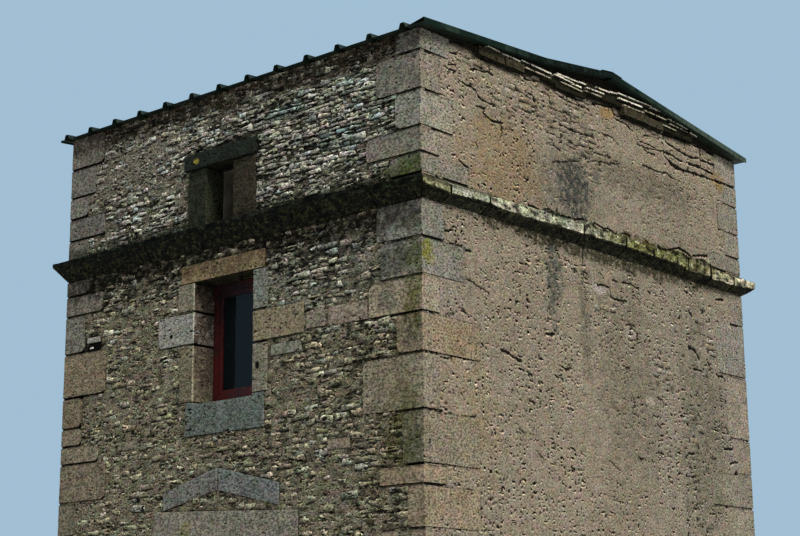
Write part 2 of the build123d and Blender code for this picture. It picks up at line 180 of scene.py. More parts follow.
# Shader building. Feeds are sockets to link or values to set
def addNode(tree, kind, feeds=None, **settings):
    made = tree.nodes.new("ShaderNode" + kind)
    for key, value in settings.items():
        setattr(made, key, value)
    for socket, source in (feeds or {}).items():
        if isinstance(source, bpy.types.NodeSocket):
            tree.links.new(source, made.inputs[socket])
        else:
            made.inputs[socket].default_value = source
    return made.outputs


def mathNode(tree, operation, first, second=0.0, clamp=False):
    return addNode(tree, "Math", {0: first, 1: second}, operation=operation, use_clamp=clamp)[0]


def timesNode(tree, *factors):
    product = factors[0]
    for factor in factors[1:]:
        product = mathNode(tree, "MULTIPLY", product, factor)
    return product


def vectorNode(tree, operation, first, second=None):
    feeds = {0: first} if second is None else {0: first, 3 if operation == "SCALE" else 1: second}
    return addNode(tree, "VectorMath", feeds,
                   operation=operation)["Value" if operation == "LENGTH" else "Vector"]


def noiseNode(tree, place, scale, detail=2.0, roughness=0.5):
    return addNode(tree, "TexNoise", {"Vector": place, "Scale": scale, "Detail": detail,
                                      "Roughness": roughness})


def mixColor(tree, mask, first, second, blend="MIX"):
    return addNode(tree, "Mix", {0: mask, 6: first, 7: second}, data_type="RGBA", blend_type=blend)[2]


def multiplyColor(tree, first, second):
    return mixColor(tree, 1.0, first, second, "MULTIPLY")


def rangeNode(tree, value, low, high, toLow=0.0, toHigh=1.0):
    feeds = {0: value, 1: low, 2: high, 3: toLow, 4: toHigh}
    return addNode(tree, "MapRange", feeds, interpolation_type="SMOOTHSTEP")[0]


def objectPlace(tree):
    return addNode(tree, "TexCoord")["Object"]


def paint(color):
    return (*color, 1.0)


def newMaterial(name):
    material = bpy.data.materials.new(name)
    material.use_nodes = True
    tree = material.node_tree
    return material, tree, tree.nodes["Principled BSDF"].inputs


def addBump(tree, shader, height, distance, strength):
    bump = addNode(tree, "Bump", {"Height": height, "Distance": distance, "Strength": strength})
    tree.links.new(bump[0], shader["Normal"])


# Labels and kinds of the sockets of a node group come as a dictionary each
def newGroup(name, inputs, outputs):
    tree = bpy.data.node_groups.new(name, "ShaderNodeTree")
    for direction, sockets in (("INPUT", inputs), ("OUTPUT", outputs)):
        for label, kind in sockets.items():
            tree.interface.new_socket(name=label, in_out=direction, socket_type="NodeSocket" + kind)
    return tree, tree.nodes.new("NodeGroupInput").outputs, tree.nodes.new("NodeGroupOutput").inputs


def useGroup(tree, group, feeds):
    return addNode(tree, "Group", feeds, node_tree=group)


# A ragged ellipsoid of stain
def buildStainSpot():
    inputs = {"Position": "Vector", "Centre": "Vector", "Reach": "Vector", "Ragged": "Float"}
    tree, given, result = newGroup("stainSpot", inputs, {"Mask": "Float"})
    away = vectorNode(tree, "SUBTRACT", given["Position"], given["Centre"])
    length = vectorNode(tree, "LENGTH", vectorNode(tree, "DIVIDE", away, given["Reach"]))
    cloud = noiseNode(tree, given["Position"], 6.5, 5.0, 0.68)["Fac"]
    swing = timesNode(tree, mathNode(tree, "SUBTRACT", cloud, 0.5), given["Ragged"])
    spot = rangeNode(tree, mathNode(tree, "ADD", length, swing), 0.45, 1.05, 1.0, 0.0)
    patch = noiseNode(tree, given["Position"], 19.0, 3.0, 0.6)["Fac"]
    patchy = rangeNode(tree, patch, 0.36, 0.56, 0.35, 1.0)
    tree.links.new(timesNode(tree, spot, patchy), result["Mask"])
    return tree


# Holes scattered over a wall, drawn out along the beds
def buildPockMask():
    inputs = {"Position": "Vector", "Wide": "Float", "Tall": "Float", "Reach": "Float"}
    tree, given, result = newGroup("pockMask", inputs, {"Mask": "Float"})
    place = addNode(tree, "SeparateXYZ", {0: given["Position"]})
    across = mathNode(tree, "DIVIDE", mathNode(tree, "ADD", place["X"], place["Y"]), given["Wide"])
    up = mathNode(tree, "DIVIDE", place["Z"], given["Tall"])
    flat = addNode(tree, "CombineXYZ", {0: across, 1: up})[0]
    cells = addNode(tree, "TexVoronoi", {"Vector": flat, "Scale": 1.0}, voronoi_dimensions="2D")
    chance = addNode(tree, "SeparateColor", {0: cells["Color"]})[0]
    crowd = noiseNode(tree, given["Position"], 3.6)["Fac"]
    crowded = rangeNode(tree, crowd, 0.34, 0.62, 0.55, 1.3)
    reach = timesNode(tree, mathNode(tree, "POWER", chance, 1.9), given["Reach"], crowded)
    reach = mathNode(tree, "ADD", reach, 0.001)
    tree.links.new(rangeNode(tree, cells["Distance"], reach, timesNode(tree, reach, 0.5)), result["Mask"])
    return tree


# The same holes with ragged edges, and a painted highlight on the lip under each of them
def buildPocks(pockMask):
    inputs = {label: "Float" for label in ("Wide", "Tall", "Reach", "Ragged", "Lip")}
    tree, given, result = newGroup("pocks", inputs, {"Mask": "Float", "LipHighlight": "Float"})
    position = objectPlace(tree)
    middle = vectorNode(tree, "SUBTRACT", noiseNode(tree, position, 24.0)["Color"], (0.5, 0.5, 0.5))
    ragged = vectorNode(tree, "ADD", position, vectorNode(tree, "SCALE", middle, given["Ragged"]))
    above = vectorNode(tree, "ADD", ragged, addNode(tree, "CombineXYZ", {"Z": given["Lip"]})[0])
    size = {label: given[label] for label in ("Wide", "Tall", "Reach")}
    hole, higher = (useGroup(tree, pockMask, {"Position": at, **size})["Mask"] for at in (ragged, above))
    tree.links.new(hole, result["Mask"])
    tree.links.new(mathNode(tree, "SUBTRACT", higher, hole, clamp=True), result["LipHighlight"])
    return tree


# Mottle, specks, pits, pale flakes and relief of old limestone. The finer marks lie along the bed
def buildStoneGrain():
    outputs = {"Mottle": "Float", "Speck": "Float", "Flakes": "Float", "Height": "Float", "Cast": "Color"}
    tree, given, result = newGroup("stoneGrain", {"Size": "Float"}, outputs)
    grown = vectorNode(tree, "SCALE", objectPlace(tree), given["Size"])
    bedded = addNode(tree, "Mapping", {"Vector": grown, "Scale": (1.0, 1.0, 1.6)})[0]
    shifted = addNode(tree, "Mapping", {"Vector": bedded, "Location": (3.1, 5.7, 1.9)})[0]
    mottle = noiseNode(tree, grown, 9.0, 6.0, 0.62)["Fac"]
    speck = noiseNode(tree, bedded, 46.0, 3.0, 0.65)["Fac"]
    fine = noiseNode(tree, grown, 190.0, 3.0)["Fac"]
    flakes = rangeNode(tree, noiseNode(tree, shifted, 34.0, 3.0, 0.6)["Fac"], 0.56, 0.68)
    rise = mathNode(tree, "ADD", timesNode(tree, speck, 0.6), timesNode(tree, flakes, 0.3))
    made = {"Mottle": rangeNode(tree, mottle, 0.32, 0.68), "Speck": rangeNode(tree, speck, 0.36, 0.64),
            "Flakes": flakes, "Height": mathNode(tree, "ADD", rise, timesNode(tree, fine, 0.14)),
            "Cast": noiseNode(tree, shifted, 12.0, 3.0, 0.55)["Color"]}
    for label, source in made.items():
        tree.links.new(source, result[label])
    return tree


# Stains and painted shade that belong to places on the building, as facing, kind, middle, reach, raggedness,
# tint and amount. Front ones skip the sides, and side ones the front. A folded mark is the same on the
# opposite wall. A multiplied mark multiplies what lies under it, and paint covers it. The painted shade is
# marked below
weatherAndShadeMarks = [
    # Painted shadow of the eaves along the top of the front and back walls
    ("front", "folded grime", (0.0, 2.3, 6.18), (9.0, 0.3, 0.24), 1.1, (0.2, 0.17, 0.15), 1.05),
    # Dark band under the string course: damp staining and painted shade
    ("front", "folded grime", (0.0, 2.3, 4.86), (9.0, 0.3, 0.24), 2.4, (0.11, 0.1, 0.08), 1.0),
    ("front", "folded grime", (0.0, 2.3, 5.03), (9.0, 0.3, 0.15), 1.5, (0.14, 0.18, 0.12), 0.95),
    ("front", "grime", (-0.1, -2.3, 5.34), (0.6, 0.3, 0.46), 1.2, (0.26, 0.26, 0.18), 0.85),
    ("front", "paint", (1.9, -2.3, 5.11), (0.24, 0.3, 0.12), 2.2, (0.085, 0.11, 0.02), 0.85),
    ("side", "folded grime", (2.05, 0.0, 5.03), (0.3, 9.0, 0.026), 0.9, (0.08, 0.08, 0.05), 1.3),
    ("front", "folded grime", (0.0, 2.3, 5.75), (9.0, 0.3, 1.3), 0.3, (0.99, 1.01, 1.09), 1.4),
    # Painted shade under the lintel at the top of the window's left reveal
    ("side", "grime", (-0.373, -2.19, 4.68), (0.1, 0.34, 0.34), 0.6, (0.1, 0.09, 0.08), 3.0),
    ("front", "paint", (-0.649, -2.3, 4.188), (0.024, 0.1, 0.02), 0.5, (0.008, 0.007, 0.006), 5.0),
    ("front", "paint", (0.366, -2.3, 3.832), (0.026, 0.1, 0.034), 0.6, (0.008, 0.007, 0.006), 5.0),
    ("front", "grime", (1.0, -2.3, 4.48), (1.1, 0.3, 0.32), 2.8, (1.12, 1.2, 1.36), 1.0),
    ("front", "grime", (1.84, -2.3, 4.42), (0.34, 0.3, 0.17), 3.2, (0.28, 0.33, 0.27), 1.0),
    ("front", "paint", (1.99, -2.3, 4.3), (0.13, 0.3, 0.36), 3.6, (0.07, 0.095, 0.016), 0.8),
    ("front", "paint", (1.97, -2.3, 3.95), (0.08, 0.3, 0.3), 3.6, (0.12, 0.115, 0.016), 0.5),
    ("front", "grime", (0.65, -2.3, 5.84), (0.32, 0.3, 0.08), 1.6, (0.66, 0.84, 0.86), 1.1),
    ("front", "grime", (1.32, -2.3, 5.94), (0.22, 0.3, 0.07), 1.6, (0.66, 0.84, 0.86), 1.1),
    ("front", "grime", (1.2, -2.3, 5.5), (0.4, 0.3, 0.12), 1.8, (0.72, 0.86, 0.9), 1.0),
    ("front", "grime", (1.85, -2.3, 5.6), (0.36, 0.3, 0.52), 3.2, (0.76, 0.88, 0.84), 0.9),
    ("front", "grime", (1.8, -2.3, 3.4), (0.36, 0.3, 0.95), 2.6, (0.84, 0.8, 0.7), 0.9),
    ("side", "grime", (2.05, -2.06, 3.6), (0.3, 0.3, 1.3), 0.6, (1.04, 1.05, 1.18), 1.0),
    ("side", "grime", (2.05, 2.12, 3.7), (0.3, 0.34, 1.3), 0.8, (0.95, 0.97, 1.1), 1.0),
    ("front", "grime", (1.93, -2.3, 3.87), (0.16, 0.3, 0.18), 1.2, (0.55, 0.62, 0.68), 1.3),
    ("front", "grime", (1.93, -2.3, 3.12), (0.13, 0.3, 0.24), 1.2, (0.55, 0.62, 0.68), 1.3),
    ("front", "grime", (1.7, -2.3, 4.16), (0.14, 0.3, 0.12), 1.8, (0.62, 0.68, 0.74), 1.2),
    ("front", "paint", (1.86, -2.3, 3.2), (0.22, 0.3, 0.4), 1.7, (0.075, 0.08, 0.016), 0.6),
    ("front", "paint", (-1.35, -2.3, 5.72), (0.85, 0.3, 0.34), 0.9, (0.19, 0.165, 0.14), 0.45),
    # Painted shadow of the string course on both side walls, with dark drips
    ("side", "folded grime", (2.05, 0.0, 4.85), (0.3, 2.2, 0.11), 1.6, (0.2, 0.21, 0.17), 1.2),
    ("side", "grime", (2.05, 0.0, 3.3), (0.3, 4.2, 2.6), 0.0, (0.955, 0.965, 0.985), 1.3),
    ("side", "grime", (2.05, 1.3, 3.6), (0.3, 0.9, 1.7), 1.0, (0.93, 0.955, 0.99), 1.1),
    ("side", "grime", (2.05, 0.8, 5.34), (0.3, 1.4, 0.42), 0.8, (0.95, 0.96, 0.98), 1.2),
    ("side", "grime", (2.05, -2.1, 5.6), (0.3, 0.32, 0.7), 0.5, (1.06, 1.06, 1.09), 1.2),
    ("front", "paint", (-0.43, -2.3, 2.61), (0.08, 0.3, 0.1), 1.6, (0.17, 0.16, 0.05), 0.8),
    ("side", "grime", (2.05, -1.3, 5.32), (0.3, 0.66, 0.44), 2.2, (1.0, 0.89, 0.72), 1.0),
    ("side", "grime", (2.05, -0.38, 5.28), (0.3, 0.3, 0.36), 3.4, (0.32, 0.37, 0.41), 1.0),
    ("side", "grime", (2.05, -0.45, 5.36), (0.3, 0.62, 0.42), 1.6, (0.7, 0.74, 0.78), 1.0),
    ("side", "grime", (2.05, 0.65, 5.62), (0.3, 1.15, 0.2), 1.9, (0.48, 0.5, 0.48), 0.7),
    ("side", "grime", (2.05, -0.69, 4.58), (0.3, 0.13, 0.48), 2.8, (0.36, 0.44, 0.46), 1.0),
    ("side", "grime", (2.05, -0.27, 4.3), (0.3, 0.1, 0.6), 1.8, (0.45, 0.48, 0.48), 0.75),
    ("side", "grime", (2.05, -1.95, 3.88), (0.3, 0.42, 0.22), 2.2, (1.0, 0.94, 0.86), 1.0),
    ("side", "grime", (2.05, -1.95, 3.3), (0.3, 0.5, 0.7), 2.6, (0.98, 0.93, 0.8), 1.0),
    ("side", "grime", (2.05, 0.35, 3.85), (0.3, 0.55, 1.05), 2.6, (0.66, 0.69, 0.68), 0.7),
    ("side", "grime", (2.05, 1.45, 3.45), (0.3, 0.46, 1.4), 2.8, (0.56, 0.6, 0.56), 0.8),
    ("side", "paint", (2.05, -0.05, 4.545), (0.3, 0.13, 0.045), 0.8, (0.4, 0.35, 0.32), 1.3),
    ("side", "paint", (2.05, 0.39, 4.25), (0.3, 0.11, 0.05), 2.0, (0.35, 0.315, 0.275), 0.8),
    ("side", "paint", (2.05, 0.66, 3.7), (0.3, 0.09, 0.06), 1.0, (0.37, 0.32, 0.26), 0.9),
    ("side", "grime", (2.05, 0.18, 6.12), (0.3, 0.16, 0.07), 2.2, (1.02, 0.8, 0.5), 1.2),
    ("side", "grime", (2.05, 1.98, 5.9), (0.3, 0.16, 0.12), 2.4, (1.02, 0.8, 0.5), 1.2),
    # Dark brown over the window's left reveal: painted shade of the reveal
    ("side", "paint", (-0.373, -2.19, 4.12), (0.1, 0.16, 0.62), 0.5, (0.105, 0.08, 0.062), 2.4),
    ("front", "paint", (-0.367, -2.3, 5.625), (0.045, 0.1, 0.032), 1.6, (0.33, 0.28, 0.045), 2.4),
    ("side", "grime", (2.15, 0.8, 4.99), (0.3, 1.35, 0.14), 1.2, (0.36, 0.37, 0.17), 1.4),
    ("side", "paint", (2.07, -2.25, 4.47), (0.3, 0.085, 0.11), 3.4, (0.18, 0.18, 0.018), 1.0),
]


# Tints of the painted shade, mottled with moss, on faces that look downwards
undersideShadeTints = [(0.009, 0.01, 0.008), (0.038, 0.038, 0.018)]


def buildWeatheringAndShade(spot):
    inputs = {"Color": "Color", "Amount": "Float"}
    tree, given, result = newGroup("weatheringAndShade", inputs, {"Color": "Color"})
    position = objectPlace(tree)
    folded = vectorNode(tree, "ABSOLUTE", position)
    normal = addNode(tree, "SeparateXYZ", {0: addNode(tree, "NewGeometry")["Normal"]})
    notSide, notFront = (rangeNode(tree, mathNode(tree, "ABSOLUTE", normal[axis]), 0.45, 0.8, 1.0, 0.0)
                         for axis in ("X", "Y"))
    color = given["Color"]
    for side, kind, centre, reach, ragged, tint, amount in weatherAndShadeMarks:
        place = folded if "folded" in kind else position
        mask = useGroup(tree, spot, {"Position": place, "Centre": centre, "Reach": reach,
                                     "Ragged": ragged})["Mask"]
        mask = timesNode(tree, mask, notSide if side == "front" else notFront, amount, given["Amount"])
        color = mixColor(tree, mask, color, paint(tint), "MULTIPLY" if "grime" in kind else "MIX")
    # Painted shade with moss on faces that look downwards
    downShade = timesNode(tree, rangeNode(tree, normal["Z"], -0.2, -0.5), 0.96)
    mossyShade = rangeNode(tree, noiseNode(tree, position, 21.0, 4.0, 0.7)["Fac"], 0.47, 0.62)
    mossyShade = mixColor(tree, mossyShade, *(paint(tint) for tint in undersideShadeTints))
    tree.links.new(mixColor(tree, downShade, color, mossyShade), result["Color"])
    return tree


stainSpot = buildStainSpot()
pocks = buildPocks(buildPockMask())
stoneGrain = buildStoneGrain()
weatheringAndShade = buildWeatheringAndShade(stainSpot)


# One masonry finish: the piece's own tint, mottled and cast in several hues, weathered with painted shade,
# then pocked, each pit with painted shade and its lip with a painted highlight
def masonryMaterial(name, look):
    material, tree, shader = newMaterial(name)
    painted = addNode(tree, "Attribute", attribute_name="tint")
    hollowShade = addNode(tree, "Attribute", attribute_name="hollowShade")["Fac"]
    grain = useGroup(tree, stoneGrain, {"Size": look["grainSize"]})
    mottled = timesNode(tree, mathNode(tree, "SUBTRACT", 1.0, grain["Mottle"]), look["mottle"])
    color = mixColor(tree, mottled, painted["Color"], paint(look["mottleTint"]), "MULTIPLY")
    hue = vectorNode(tree, "SUBTRACT", grain["Cast"], (0.5, 0.5, 0.5))
    hue = vectorNode(tree, "ADD", vectorNode(tree, "SCALE", hue, look["hues"]), (1.0, 1.0, 1.0))
    color = multiplyColor(tree, color, hue)
    color = useGroup(tree, weatheringAndShade, {"Color": color, "Amount": look["weatherAndShade"]})["Color"]
    shade = rangeNode(tree, grain["Speck"], 0.0, 1.0, 1 - look["speck"], 1 + look["speck"])
    color = multiplyColor(tree, color, addNode(tree, "CombineColor", {0: shade, 1: shade, 2: shade})[0])
    flaked = multiplyColor(tree, color, paint(look["flakeTint"]))
    color = mixColor(tree, timesNode(tree, grain["Flakes"], look["flakes"]), color, flaked)
    height = grain["Height"]
    for wide, tall, reach, ragged, amount in look["pocks"]:
        feeds = {"Wide": wide, "Tall": tall, "Reach": reach, "Ragged": ragged, "Lip": look["lip"]}
        holes = useGroup(tree, pocks, feeds)
        # Each pit gets painted shade, and the lip below it a painted highlight
        pit, lipHighlightMask = (timesNode(tree, holes[label], painted["Alpha"]) for label in ("Mask", "LipHighlight"))
        lit = multiplyColor(tree, color, paint(look["lipHighlightTint"]))
        color = mixColor(tree, timesNode(tree, lipHighlightMask, amount), color, lit)
        color = mixColor(tree, timesNode(tree, pit, amount), color, paint(look["hollowShadeTint"]))
        height = mathNode(tree, "SUBTRACT", height, timesNode(tree, pit, 0.8 * amount))
    # Painted shade in deep joints and hollows, as painted on the mesh
    color = mixColor(tree, timesNode(tree, hollowShade, look["hollowShade"]), color, paint(look["hollowShadeTint"]))
    tree.links.new(color, shader["Base Color"])
    shader["Roughness"].default_value = look["roughness"]
    shader["Specular IOR Level"].default_value = 0.06
    addBump(tree, shader, height, look["relief"], 1.0)
    return material


# Pocks are listed as width and height of a cell, reach within it, raggedness and amount
masonryLook = {"grainSize": 1.0, "weatherAndShade": 1.0, "hollowShade": 1.0, "roughness": 0.92, "lip": 0.008}
masonryLooks = {
    "rubbleStone": {
        "mottle": 0.6, "mottleTint": (0.48, 0.52, 0.42), "speck": 0.62, "hues": 0.62, "flakes": 0.9,
        "flakeTint": (1.7, 1.7, 1.65), "hollowShadeTint": (0.006, 0.005, 0.004), "relief": 0.02,
        "lipHighlightTint": (1.8, 1.8, 1.7),
        "pocks": [(0.06, 0.034, 0.48, 0.034, 0.95), (0.13, 0.03, 0.44, 0.034, 0.95)]},
    "mortarBed": {
        "grainSize": 1.15, "mottle": 0.65, "mottleTint": (0.5, 0.5, 0.4), "speck": 0.6, "hues": 0.8,
        "flakes": 1.0, "flakeTint": (1.9, 1.9, 1.8), "hollowShadeTint": (0.005, 0.004, 0.003), "roughness": 0.95,
        "relief": 0.022, "lip": 0.01, "lipHighlightTint": (2.2, 2.2, 2.1),
        "pocks": [(0.046, 0.028, 0.5, 0.036, 0.8), (0.12, 0.03, 0.42, 0.04, 0.85)]},
    "limeRender": {
        "mottle": 0.6, "mottleTint": (0.72, 0.71, 0.66), "speck": 0.34, "hues": 0.5, "flakes": 0.45,
        "flakeTint": (1.3, 1.3, 1.3), "hollowShadeTint": (0.008, 0.007, 0.005), "roughness": 0.93, "relief": 0.014,
        "lip": 0.01, "lipHighlightTint": (2.2, 2.15, 2.1),
        "pocks": [(0.072, 0.06, 0.21, 0.026, 1.0), (0.13, 0.034, 0.27, 0.045, 1.0),
                  (0.044, 0.036, 0.36, 0.024, 0.75)]},
    "dressedStone": {
        "mottle": 0.85, "mottleTint": (0.66, 0.69, 0.66), "speck": 0.5, "hues": 0.55, "flakes": 0.5,
        "flakeTint": (1.35, 1.35, 1.35), "weatherAndShade": 0.8, "hollowShade": 0.9, "hollowShadeTint": (0.02, 0.018, 0.014),
        "roughness": 0.9, "relief": 0.01, "lip": 0.007, "lipHighlightTint": (1.5, 1.5, 1.5),
        "pocks": [(0.06, 0.05, 0.2, 0.02, 0.9), (0.15, 0.04, 0.17, 0.03, 0.8)]},
    "surroundStone": {
        "mottle": 0.75, "mottleTint": (0.6, 0.6, 0.52), "speck": 0.46, "hues": 0.5, "flakes": 0.55,
        "flakeTint": (1.4, 1.4, 1.35), "weatherAndShade": 0.5, "hollowShadeTint": (0.006, 0.005, 0.004), "roughness": 0.9,
        "relief": 0.011, "lip": 0.007, "lipHighlightTint": (1.5, 1.5, 1.45),
        "pocks": [(0.056, 0.046, 0.24, 0.02, 0.9), (0.15, 0.045, 0.22, 0.03, 0.9)]},
    "stringStone": {
        "mottle": 0.7, "mottleTint": (0.34, 0.4, 0.24), "speck": 0.55, "hues": 0.5, "flakes": 0.6,
        "flakeTint": (1.6, 1.6, 1.5), "weatherAndShade": 0.7, "hollowShadeTint": (0.004, 0.004, 0.003), "relief": 0.016,
        "lipHighlightTint": (1.6, 1.6, 1.5), "pocks": [(0.056, 0.04, 0.38, 0.025, 0.9)]},
}
masonry = {name: masonryMaterial(name, {**masonryLook, **look}) for name, look in masonryLooks.items()}
print("masonry materials built")

# Dressed corner stones, from the roof down: the top of each, how far it runs along the front or back
# wall, and along the side wall. Signs say the corner: right or left, back or front
cornerStones = {
    (1, -1): [(6.176, 0.24, 0.35), (5.994, 0.44, 0.25), (5.69, 0.25, 0.38), (5.405, 0.54, 0.23),
              (5.205, 0.31, 0.56), (5.046, 0, 0), (4.856, 0.44, 0.26), (4.569, 0.4, 0.5), (4.286, 0.52, 0.2),
              (4.016, 0.25, 0.66), (3.721, 0.58, 0.19), (3.312, 0.2, 0.64), (2.928, 0.42, 0.25),
              (2.786, 0.16, 0.63)],
    (-1, -1): [(6.176, 0.44, 0.26), (5.878, 0.35, 0.48), (5.613, 0.26, 0.52), (5.419, 0.49, 0.24),
               (5.218, 0.27, 0.46), (5.046, 0, 0), (4.856, 0.29, 0.52), (4.714, 0.5, 0.27),
               (4.531, 0.26, 0.55), (4.197, 0.56, 0.24), (3.812, 0.26, 0.5), (3.545, 0.27, 0.44),
               (3.391, 0.5, 0.26), (3.236, 0.6, 0.22), (2.908, 0.22, 0.58)],
    (1, 1): [(6.166, 0.25, 0.37), (5.9, 0.48, 0.27), (5.698, 0.28, 0.36), (5.43, 0.52, 0.26),
             (5.204, 0.24, 0.55), (5.046, 0, 0), (4.856, 0.5, 0.25), (4.558, 0.24, 0.5), (4.076, 0.46, 0.37),
             (3.5, 0.52, 0.23), (3.186, 0.25, 0.7), (2.887, 0.5, 0.35)],
    (-1, 1): [(6.166, 0.42, 0.26), (5.93, 0.24, 0.46), (5.66, 0.5, 0.25), (5.38, 0.25, 0.5),
              (5.046, 0, 0), (4.856, 0.46, 0.25), (4.56, 0.26, 0.55), (4.21, 0.52, 0.24),
              (3.86, 0.24, 0.48), (3.48, 0.55, 0.26), (3.16, 0.25, 0.6), (2.82, 0.5, 0.25)],
}
cornerLook = {"seed": 21, "lowSeed": 7, "lowest": 0.5, "castBelow": 4.4, "shades": (0.88, 1.1),
              "joint": 0.016, "arris": 0.01, "step": 0.052, "rough": 0.005, "chips": 0.032,
              "tailRound": (0.012, 0.055),
              "leftShade": 0.78, "lowCast": (1.1, 1.02, 0.9), "lowHeights": (0.26, 0.4),
              "longTail": (0.44, 0.66), "shortTail": (0.2, 0.28),
              "tints": [(0.3, 0.268, 0.216), (0.278, 0.252, 0.206), (0.295, 0.256, 0.2),
                        (0.272, 0.256, 0.214), (0.308, 0.278, 0.228)]}


# Corner stones below the photo's edge go on in the same way down to the ground
def finishCorners(look):
    chance = random.Random(look["lowSeed"])
    for stones in cornerStones.values():
        top, along, beside = stones[-1]
        while top > look["lowest"]:
            top -= chance.uniform(*look["lowHeights"])
            isLong = along < beside
            along = chance.uniform(*look["longTail" if isLong else "shortTail"])
            beside = chance.uniform(*look["shortTail" if isLong else "longTail"])
            stones.append((top, along, beside))


def cornerBoxes():
    boxes = []
    for (right, back), stones in cornerStones.items():
        tops = [stone[0] for stone in stones] + [0.0]
        for index, (top, along, beside) in enumerate(stones):
            if along == 0:
                continue
            x = sorted((right * house["halfWidth"], right * (house["halfWidth"] - along)))
            y = sorted((back * house["halfDepth"], back * (house["halfDepth"] - beside)))
            boxes.append(((x[0], y[0], tops[index + 1]), (x[1], y[1], top)))
    return boxes


def everything(part):
    return part.verts[:] + part.edges[:] + part.faces[:]


def bevelEdges(part, edges, offset, segments):
    bmesh.ops.bevel(part, geom=edges, offset=offset, offset_type="OFFSET", segments=segments, profile=0.5,
                    affect="EDGES", material=-1, clamp_overlap=True)


# Keeps what lies between two planes across an axis, and closes the cuts
def cutBetween(part, axis, low, high):
    for at, outward in ((low, -1), (high, 1)):
        middle, facing = Vector(), Vector()
        middle[axis], facing[axis] = at, outward
        bmesh.ops.bisect_plane(part, geom=everything(part), dist=1e-5, plane_co=middle, plane_no=facing,
                               clear_outer=True)
        rim = [edge for edge in part.edges if edge.is_boundary]
        if rim:
            bmesh.ops.holes_fill(part, edges=rim, sides=0)
    bmesh.ops.recalc_face_normals(part, faces=part.faces)


# How every shape wears: the turn of a sharp edge, the largest face of a bevel and the scales of the noise
wear = {"turn": 0.45, "bevelArea": 0.0025, "soft": 9, "hard": 34, "chip": 15, "chipFrom": 0.1}


# Wears a closed shape: rounds its edges, cuts it finer and roughens it, inwards only
def wearShape(part, look, seed):
    sharp = [edge for edge in part.edges if edge.calc_face_angle(0) > wear["turn"]]
    bevelEdges(part, sharp, look["arris"], 2)
    arris = {vert for face in part.faces if face.calc_area() < wear["bevelArea"] for vert in face.verts}
    edgeLayer = part.verts.layers.float.new("arris")
    for vert in part.verts:
        vert[edgeLayer] = 1.0 if vert in arris else 0.0
    for axis in range(3):
        low = min(vert.co[axis] for vert in part.verts)
        high = max(vert.co[axis] for vert in part.verts)
        count = int((high - low) / look["step"])
        normal = Vector([1.0 if index == axis else 0.0 for index in range(3)])
        cuts = [low + (high - low) * index / (count + 1) for index in range(1, count + 1)]
        if "rim" in look:
            cuts += [low + look["rim"], high - look["rim"]]
        for cut in cuts:
            bmesh.ops.bisect_plane(part, geom=everything(part), dist=1e-5,
                                   plane_co=normal * cut, plane_no=normal)
    part.normal_update()
    offset = Vector((seed * 3.7, seed * 1.3, seed * 2.1))
    moves = []
    for vert in part.verts:
        soft = 0.5 + 0.5 * noise.noise(vert.co * wear["soft"] + offset)
        hard = 0.5 + 0.5 * noise.noise(vert.co * wear["hard"] + offset)
        chip = max(0.0, noise.noise(vert.co * wear["chip"] - offset) - wear["chipFrom"]) * vert[edgeLayer]
        moves.append(vert.normal * -(look["rough"] * (soft + 0.5 * hard) + look["chips"] * chip * 2))
    for vert, move in zip(part.verts, moves):
        vert.co += move
    part.verts.layers.float.remove(edgeLayer)


def blockShape(low, high):
    part = bmesh.new()
    size = [high[axis] - low[axis] for axis in range(3)]
    middle = [(high[axis] + low[axis]) / 2 for axis in range(3)]
    bmesh.ops.create_cube(part, size=1.0, matrix=Matrix.Translation(middle) @ Matrix.Diagonal((*size, 1.0)))
    return part


def nodeShape(node):
    part = bmesh.new()
    part.from_mesh(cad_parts[node].data)
    bmesh.ops.remove_doubles(part, verts=part.verts, dist=1e-5)
    bmesh.ops.dissolve_limit(part, angle_limit=0.02, verts=part.verts, edges=part.edges)
    return part


# The tail of a corner stone has rounded corners where it runs out into the wall
def roundTails(part, chance, look):
    inner = [min(vert.co[axis] for vert in part.verts) for axis in (0, 1)]
    outer = [max(vert.co[axis] for vert in part.verts) for axis in (0, 1)]
    for axis in (0, 1):
        tail = inner[axis] if abs(inner[axis]) < abs(outer[axis]) else outer[axis]
        for end in (0, 1):
            tips = [edge for edge in part.edges
                    if all(abs(vert.co[axis] - tail) < 1e-4 for vert in edge.verts)]
            levels = sorted({round(vert.co.z, 4) for edge in tips for vert in edge.verts})
            level = levels[0] if end == 0 else levels[-1]
            tips = [edge for edge in tips if all(abs(vert.co.z - level) < 1e-3 for vert in edge.verts)]
            bevelEdges(part, tips, chance.uniform(*look["tailRound"]), 3)


def buildCorners(look):
    chance = random.Random(look["seed"])
    bm = newShape()
    for index, (low, high) in enumerate(cornerBoxes()):
        part = blockShape((low[0], low[1], low[2] + look["joint"]), high)
        roundTails(part, chance, look)
        wearShape(part, look, index)
        shade = chance.uniform(*look["shades"]) * (look["leftShade"] if high[0] < 0 else 1.0)
        cast = look["lowCast"] if high[2] < look["castBelow"] else (1.0, 1.0, 1.0)
        tint = chance.choice(look["tints"])
        addShape(bm, part, [value * shade * share for value, share in zip(tint, cast)])
    finishPiece("cornerStones", bm, masonry["dressedStone"])


finishCorners(cornerLook)
buildCorners(cornerLook)
print("corner stones laid")

# Openings and dressed stones in the front wall, as (left, right, bottom, top)
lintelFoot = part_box("door_lintel")[0][2]
openings = {
    "window": (-0.373, 0.305, 3.622, 4.603),
    "flight": (-0.258, 0.055, 5.046, 5.558),
    "door": (-0.5, 0.5, 0.15, 2.4),
}
windowJambs = {
    "left": [(0.0, 0.469, -0.543), (0.469, 0.742, -0.812), (0.742, 0.981, -0.574)],
    "right": [(0.0, 0.392, 0.47), (0.392, 0.651, 0.86), (0.651, 0.981, 0.466)],
}
